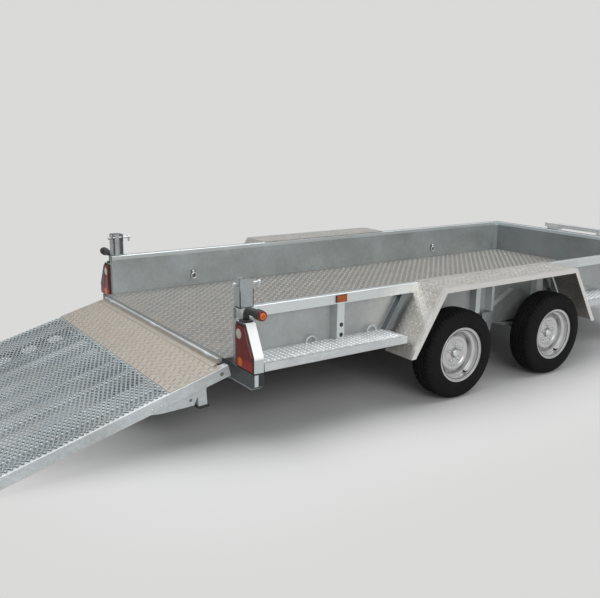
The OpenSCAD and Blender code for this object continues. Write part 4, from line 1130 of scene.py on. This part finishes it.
# %% [markdown]
# A tyre is one profile turned about its axle: bead, sidewall, shoulder and
# tread. The tread is cut by giving the same grid a depth: four grooves run
# round it on fixed columns, and every pitch of the shoulder has a slanting
# slot on fixed rows. Because the grid lines sit on the edges of the grooves,
# they stay sharp with few faces.

# %% Tyres
wheel_names = [f"{end}_{side}" for end in ("rear", "front") for side in ("left", "right")]
hub_out, axle_up = 1105.0, 298.0


def at_hub(x, side, ahead, out, up):
    """Lengths in millimetres counted from the middle of a wheel, as points."""
    return bed(x + ahead, side * (hub_out + out), axle_up + up)


def tyre_shape(x, side):
    """Radius over (turn, place on the profile): the profile's radius less the depth of the shoulder slots.

    A place is (out, radius, kind): kind 1 has shallow slots, 2 deep ones; the grooves are in the profile.
    """
    half = [(0.0, 298.0, 0), (10.5, 298.0, 0), (11.5, 291.0, 0), (17.5, 291.0, 0), (18.5, 297.8, 0),
            (28.0, 297.5, 1), (38.0, 297.2, 1), (39.0, 290.5, 0), (45.0, 290.5, 0), (46.0, 296.8, 2),
            (54.0, 296.0, 2), (62.0, 294.2, 2), (69.0, 291.0, 2), (74.5, 286.0, 2), (78.5, 279.5, 2),
            (81.5, 272.5, 0), (83.5, 268.0, 0), (85.0, 266.5, 0), (87.0, 254.0, 0), (88.6, 240.0, 0),
            (89.0, 228.0, 0), (88.6, 219.0, 0), (87.4, 213.0, 0), (88.3, 211.0, 0), (88.0, 205.0, 0),
            (86.5, 203.5, 0), (84.5, 196.0, 0), (81.5, 189.5, 0), (78.0, 185.2, 0), (70.5, 179.5, 0),
            (65.0, 167.0, 0), (49.0, 166.2, 0), (54.0, 200.0, 0), (66.0, 235.0, 0), (58.0, 272.0, 0),
            (40.0, 283.0, 0)]
    out, r, kind = np.array(half + [(-o, r, k) for o, r, k in reversed(half[1:])]).T
    pitches = 64
    phase = (np.arange(pitches)[:, None] + np.array([0.0, 0.16, 0.21, 0.60, 0.95])).reshape(-1) / pitches
    slot_row = np.tile([1.0, 1.0, 0.0, 0.0, 0.0], pitches)
    slant = 2 * PI / pitches * 1.1 * np.clip(np.abs(out) / 80.0, 0, 1) * (kind > 0)
    phi = 2 * PI * phase[:, None] + np.sign(out)[None, :] * slant[None, :]
    depth = slot_row[:, None] * np.choose(kind.astype(int), [0.0, 3.2, 5.5])[None, :]
    radius = r[None, :] - depth
    pts = at_hub(x, side, radius * np.cos(phi), out[None, :] + 0 * phi, radius * np.sin(phi))
    return pts.reshape(-1, 3), [grid_quads(len(phase), len(out), True, True)]


wheel_x = {}
for name in wheel_names:
    lo, hi = box_mm(f"tyre_{name}")
    wheel_x[name] = (lo[0] + hi[0]) / 2
    side = 1 if hi[1] > 0 else -1
    tyre = make_piece(f"tyre_{name}_tread", tyre_shape(wheel_x[name], side), tyre_rubber, f"wheel_{name}", "tyre")
    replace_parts(tyre, f"tyre_{name}")
    tyre.data.set_sharp_from_angle(angle=math.radians(38))
print("wheel middles", {k: round(v) for k, v in wheel_x.items()})

# %% [markdown]
# The wheel is two pressings welded together. The barrel is one rolled strip
# with a flange, a seat for the tyre's bead and a well. The disc is dished for
# stiffness, carries the studs on a flat ring, and is pinched in at five places
# where it meets the well, which leaves the dark gaps of a steel wheel. Both
# start as a centre line that is given its sheet thickness to both sides.

# %% Wheel pressings
barrel_line = round_corners([(81.0, 177.5), (82.0, 181.3), (77.5, 181.3), (74.0, 174.0), (73.0, 164.8), (52.0, 164.0),
                             (44.0, 160.0), (38.0, 145.0), (-20.0, 143.0), (-42.0, 148.0), (-50.0, 164.0),
                             (-73.0, 164.8), (-74.0, 174.0), (-77.5, 181.3), (-82.0, 181.3), (-81.0, 177.5)],
                            [1.5, 1.5, 5, 6, 9, 6, 7, 12, 9, 9, 6, 5, 1.5, 1.5], 4)
disc_line = round_corners([(26.0, 30.5), (18.5, 33.0), (17.5, 78.0), (20.0, 86.0), (26.5, 94.0), (28.0, 108.0),
                           (24.0, 117.0), (12.0, 125.0), (6.0, 133.0), (4.0, 141.3)],
                          [2, 4, 6, 6, 7, 8, 8, 8], 5)


def disc_shape(x, side):
    """The disc section turned about the axle, with its radius past 112 mm drawn in by up to 15 mm at five places."""
    section = sheet_section(disc_line, 3.4)
    phi = np.linspace(0, 2 * PI, 150, endpoint=False)[:, None]
    out, r = section[None, :, 0], section[None, :, 1]
    pinch = np.clip(np.cos(5 * (phi - math.radians(18))), 0, 1) ** 1.6
    r = r - 15.0 * pinch * np.clip((r - 112.0) / 29.0, 0, 1) ** 1.5
    pts = at_hub(x, side, r * np.cos(phi), out + 0 * phi, r * np.sin(phi))
    return pts.reshape(-1, 3), [grid_quads(150, len(section), True, True)]


def hex_nut(across, high, flange):
    """Nut with a coned seat below and a chamfered top, over a round flange: rings of 12 points."""
    a = np.arange(12) * PI / 6
    rim = np.where(np.arange(12) % 2 == 0, across / math.sqrt(3), across / 2)
    rings = [(flange, 0.0), (flange * 0.96, 3.0), (rim, 3.4), (rim, high - 1.6), (rim * 0.86, high),
             (across * 0.26, high), (across * 0.26, high + 5.0), (0.001, high + 5.6)]
    pts = [np.column_stack([r * np.cos(a), r * np.sin(a), np.full(12, z)]) for r, z in rings]
    return np.concatenate(pts), [grid_quads(len(rings), 12, False, True)]


# Two dark rings of painted shade: a collar round the hub cap and a thin ring in the corner of the bead seat.
hub_shade_collar = [(18.0, 25.0), (24.0, 25.0), (25.5, 28.0), (25.0, 32.5), (21.0, 35.0), (18.0, 35.0)]
bead_shade_ring = [(74.6, 162.4), (75.2, 167.5), (72.2, 167.5), (72.2, 162.4)]
cap = round_corners([(17.0, 25.0), (30.0, 24.6), (34.0, 23.5), (39.0, 19.0), (41.0, 10.0), (41.4, 0.0)],
                    [1, 3, 4, 5], 4)
drum = round_corners([(-74.0, 93.0), (-74.0, 100.0), (4.0, 100.0), (15.0, 92.0), (15.5, 24.0), (-60.0, 24.0),
                      (-74.0, 60.0)], [2, 2, 4, 3, 2], 3)
stem = round_corners([(30.0, 150.0), (52.0, 152.0), (66.0, 146.0), (76.0, 137.0)], [10, 10], 5)
stem_width = np.interp(np.linspace(0, 1, len(stem)), [0, 0.3, 0.72, 0.74, 1], [7.0, 5.6, 4.6, 3.6, 3.6])


def wheel_parts(name):
    """Barrel and disc in silver paint; nuts, hub cap and valve as fittings; brake drum behind; two dark rings of
    painted shade, one round the cap and one in the corner of the bead seat.
    """
    x, side = wheel_x[name], 1 if name.endswith("left") else -1

    def turned(section, turns):
        return revolve_about_y(np.asarray(section) + np.array([hub_out, 0.0]), turns, x, axle_up, side)

    def piece(part, shape, finish, slot, merge=0.0):
        return make_piece(f"wheel_{name}_{part}", shape, finish, f"wheel_{name}", slot, merge=merge)

    pressings = joined([turned(sheet_section(barrel_line, 3.4), 144), disc_shape(x, side)])
    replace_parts(piece("pressings", pressings, wheel_silver, "rim"), f"rim_{name}")
    angles = math.radians(18) + np.arange(5) * 2 * PI / 5
    studs = np.column_stack([56 * np.cos(angles), 56 * np.sin(angles), np.full(5, 19.3)])
    pts, blocks = stamp(hex_nut(19.0, 14.0, 12.5), studs, angles)
    piece("nuts", (at_hub(x, side, pts[:, 0], pts[:, 2], pts[:, 1]), blocks), nut_steel, "galvanised_dark", 1e-6)
    piece("rings", joined([turned(section, 96) for section in (hub_shade_collar, bead_shade_ring)]), shade_zinc, "galvanised_dark")
    piece("cap", turned(np.concatenate([cap, [(17.0, 0.0)]]), 48), cap_white, "galvanised", 1e-6)
    piece("drum", turned(drum, 72), dark_zinc, "galvanised_dark")
    turn = math.radians(-62) if side < 0 else math.radians(-118)
    route = np.column_stack([stem[:, 1] * math.cos(turn), stem[:, 0], stem[:, 1] * math.sin(turn)])
    pts, faces = sweep(route, stem_width, 14)
    piece("valve", (at_hub(x, side, *pts.T), faces), black_rubber, "rubber")


for name in wheel_names:
    wheel_parts(name)

# %% [markdown]
# The rear lamps are one moulded lens over a black tray. The lens is a patch
# between a straight inner side and an outer side that leans in above the
# middle, drawn as a grid: its height over the tray rises in a quarter round
# from every edge, and upright ribs are pressed into the flat. Two round lamps
# stand out of it, a clear one near the top and an amber one near the foot.

# %% Rear lamps
lamp_in, lamp_out, lamp_low, lamp_bend, lamp_high = 966.3, 1152.0, 437.0, 525.0, 695.0
lamp_top_out = lamp_in + 98.0


def lamp_patch(side, inset, back, depth, edge, ribs=0.0, rows=90, cols=60, high=lamp_high - 1.0):
    """Depth over (across, up): depth x quarter round of the way from the nearest edge, less a row of upright ribs."""
    z0, z1 = lamp_low + inset, high
    z = np.union1d(np.linspace(z0, z1, rows), [z0 + edge * 0.3, z1 - edge * 0.3, np.clip(lamp_bend, z0, z1)])[:, None]
    s = np.linspace(0, 1, cols)[None, :]
    s = 0.5 - 0.5 * np.cos(PI * s) * (0.35 + 0.65 * np.abs(np.cos(PI * s)))
    outer = np.interp(z, [lamp_low, lamp_bend, lamp_high], [lamp_out, lamp_out, lamp_top_out]) - inset
    y = (lamp_in + inset) + s * (outer - lamp_in - inset)
    near = np.minimum(np.minimum(y - lamp_in - inset, outer - y), np.minimum(z - z0, z1 - z))
    e = np.clip(near / edge, 0, 1)
    rib = ribs * (e >= 1) * (0.5 + 0.5 * np.cos(2 * PI * y / 5.0))
    x = back - depth * np.sqrt(np.clip(1 - (1 - e) ** 2, 0, 1)) + rib
    front = bed(x, side * y, z + 0 * y)
    rear = bed(back + 0 * y, side * y, z + 0 * y)
    n = front.shape[0] * front.shape[1]
    quads = grid_quads(*front.shape[:2])
    return np.concatenate([front.reshape(-1, 3), rear.reshape(-1, 3)]), [quads, quads[:, ::-1] + n]


def lamp_dome(side, y, z, radius, back, depth, rings=4):
    """A round lamp facing the rear: depth follows a flattened half round, less concentric prisms."""
    r = np.linspace(1, 0, 26)
    rise = depth * (1 - r ** 4) ** 0.5 - 0.6 * (0.5 - 0.5 * np.cos(2 * PI * rings * r)) * (r < 0.86)
    phi = np.linspace(0, 2 * PI, 48, endpoint=False)[:, None]
    x = np.concatenate([[back], back - rise])
    r = np.concatenate([[1.0], r]) * radius
    pts = bed(x[None, :] + 0 * phi, side * y + r[None, :] * np.cos(phi), z + r[None, :] * np.sin(phi))
    return pts.reshape(-1, 3), [grid_quads(48, 27, True, False), (np.arange(48) * 27)[None]]


for label, side in SIDES:
    tray = make_piece(f"tail_lamp_{label}_tray", lamp_patch(side, 1.0, 55.7, 9.0, 5.0), black_rubber, slot="rubber",
                      merge=2e-5)
    red_patch = lamp_patch(side, 7.0, 47.5, 10.5, 9.0, 0.9, 110, 96, high=lamp_high - 14)
    make_piece(f"tail_lamp_{label}_lens", red_patch, red_plastic, slot="red_lens", merge=2e-5)
    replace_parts(tray, f"tail_lamp_{label}")
    make_piece(f"tail_lamp_{label}_clear", lamp_dome(side, 1016.0, 634.0, 30.0, 39.0, 4.6), clear_plastic,
               slot="red_lens", merge=1e-5)
    make_piece(f"tail_lamp_{label}_amber", lamp_dome(side, 1030.0, 477.0, 28.0, 39.0, 4.6), amber_plastic,
               slot="amber_lens", merge=1e-5)

# %% [markdown]
# The outline marker stands off on a rubber arm so that it gives way when it
# touches a gatepost. The arm is a tube swept along a bent route, upwards and
# then outwards, with a few bellows near its root. It carries a round head
# whose amber lens looks out to the side over a dark red band.

# %% Marker lamps
x, z = 86.0, 763.0
steps = np.linspace(0, 1, 24)
pad = round_corners([(-30, -30), (30, -30), (30, 30), (-30, 30), (-30, -30)], [10, 10, 10], 5)[:-1, None]
foot_ring = np.array([(0.0, 0.0), (1.0, 0.0), (1.0, 8.0), (0.86, 12.0), (0.0, 12.0)])
size, high = foot_ring[None, :, 0], foot_ring[None, :, 1]
for label, side in SIDES:
    root, outer = y_reach(f"marker_lamp_{label}")
    root += 30.0
    route = round_corners([(x, root, 700), (x, root, z), (x, outer - 66.0, z + 1)], [30], 14)
    t = np.linspace(0, 1, len(route))
    width = np.interp(t, [0, 0.1, 0.45, 0.7, 1.0], [19.0, 18.0, 16.0, 17.5, 22.5])
    width = width + 0.8 * np.cos(2 * PI * 8 * t) * (t < 0.5)
    points, faces = sweep(route * np.array([1, side, 1]), width, 28)
    arm = make_piece(f"marker_lamp_{label}_arm", (bed(*points.T), faces), black_rubber, slot="rubber")
    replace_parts(arm, f"marker_lamp_{label}")
    cup = round_corners([(outer - 70, 0.0), (outer - 70, 21.0), (outer - 62, 29.6), (outer - 26, 30.0),
                         (outer - 24, 27.0), (outer - 24, 0.0)], [2, 6, 1.5, 1], 5)
    band = round_corners([(outer - 25, 0.0), (outer - 25, 27.5), (outer - 11, 27.5), (outer - 9, 25.0),
                          (outer - 9, 0.0)], [1, 2, 1], 4)
    dome = np.column_stack([outer - 10 + 9.5 * (1 - (1 - steps) ** 4) ** 0.5 - 0.4 * np.cos(2 * PI * 5 * steps),
                            20.0 * (1 - steps)])
    lens = np.concatenate([[(outer - 14, 0.0), (outer - 14, 20.0)], dome])
    for part, section, finish, slot in (("cup", cup, black_rubber, "rubber"), ("band", band, red_plastic, "red_lens"),
                                        ("lens", lens, amber_plastic, "amber_lens")):
        make_piece(f"marker_lamp_{label}_{part}", revolve_about_y(section, 56, x, z, side), finish, slot=slot,
                   merge=1e-6)
    points = bed(x + size * pad[..., 0], side * (root + size * pad[..., 1]), 695.2 + high)
    make_piece(f"marker_lamp_{label}_foot", (points, [grid_quads(len(pad), len(foot_ring), True, True)]),
               black_rubber, slot="rubber", merge=1e-6)

# %% [markdown]
# The last step on every run prints how large the dressed model is.

# %% Size of the dressed model
lo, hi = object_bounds()
print("size", [round(b - a, 3) for a, b in zip(lo, hi)])
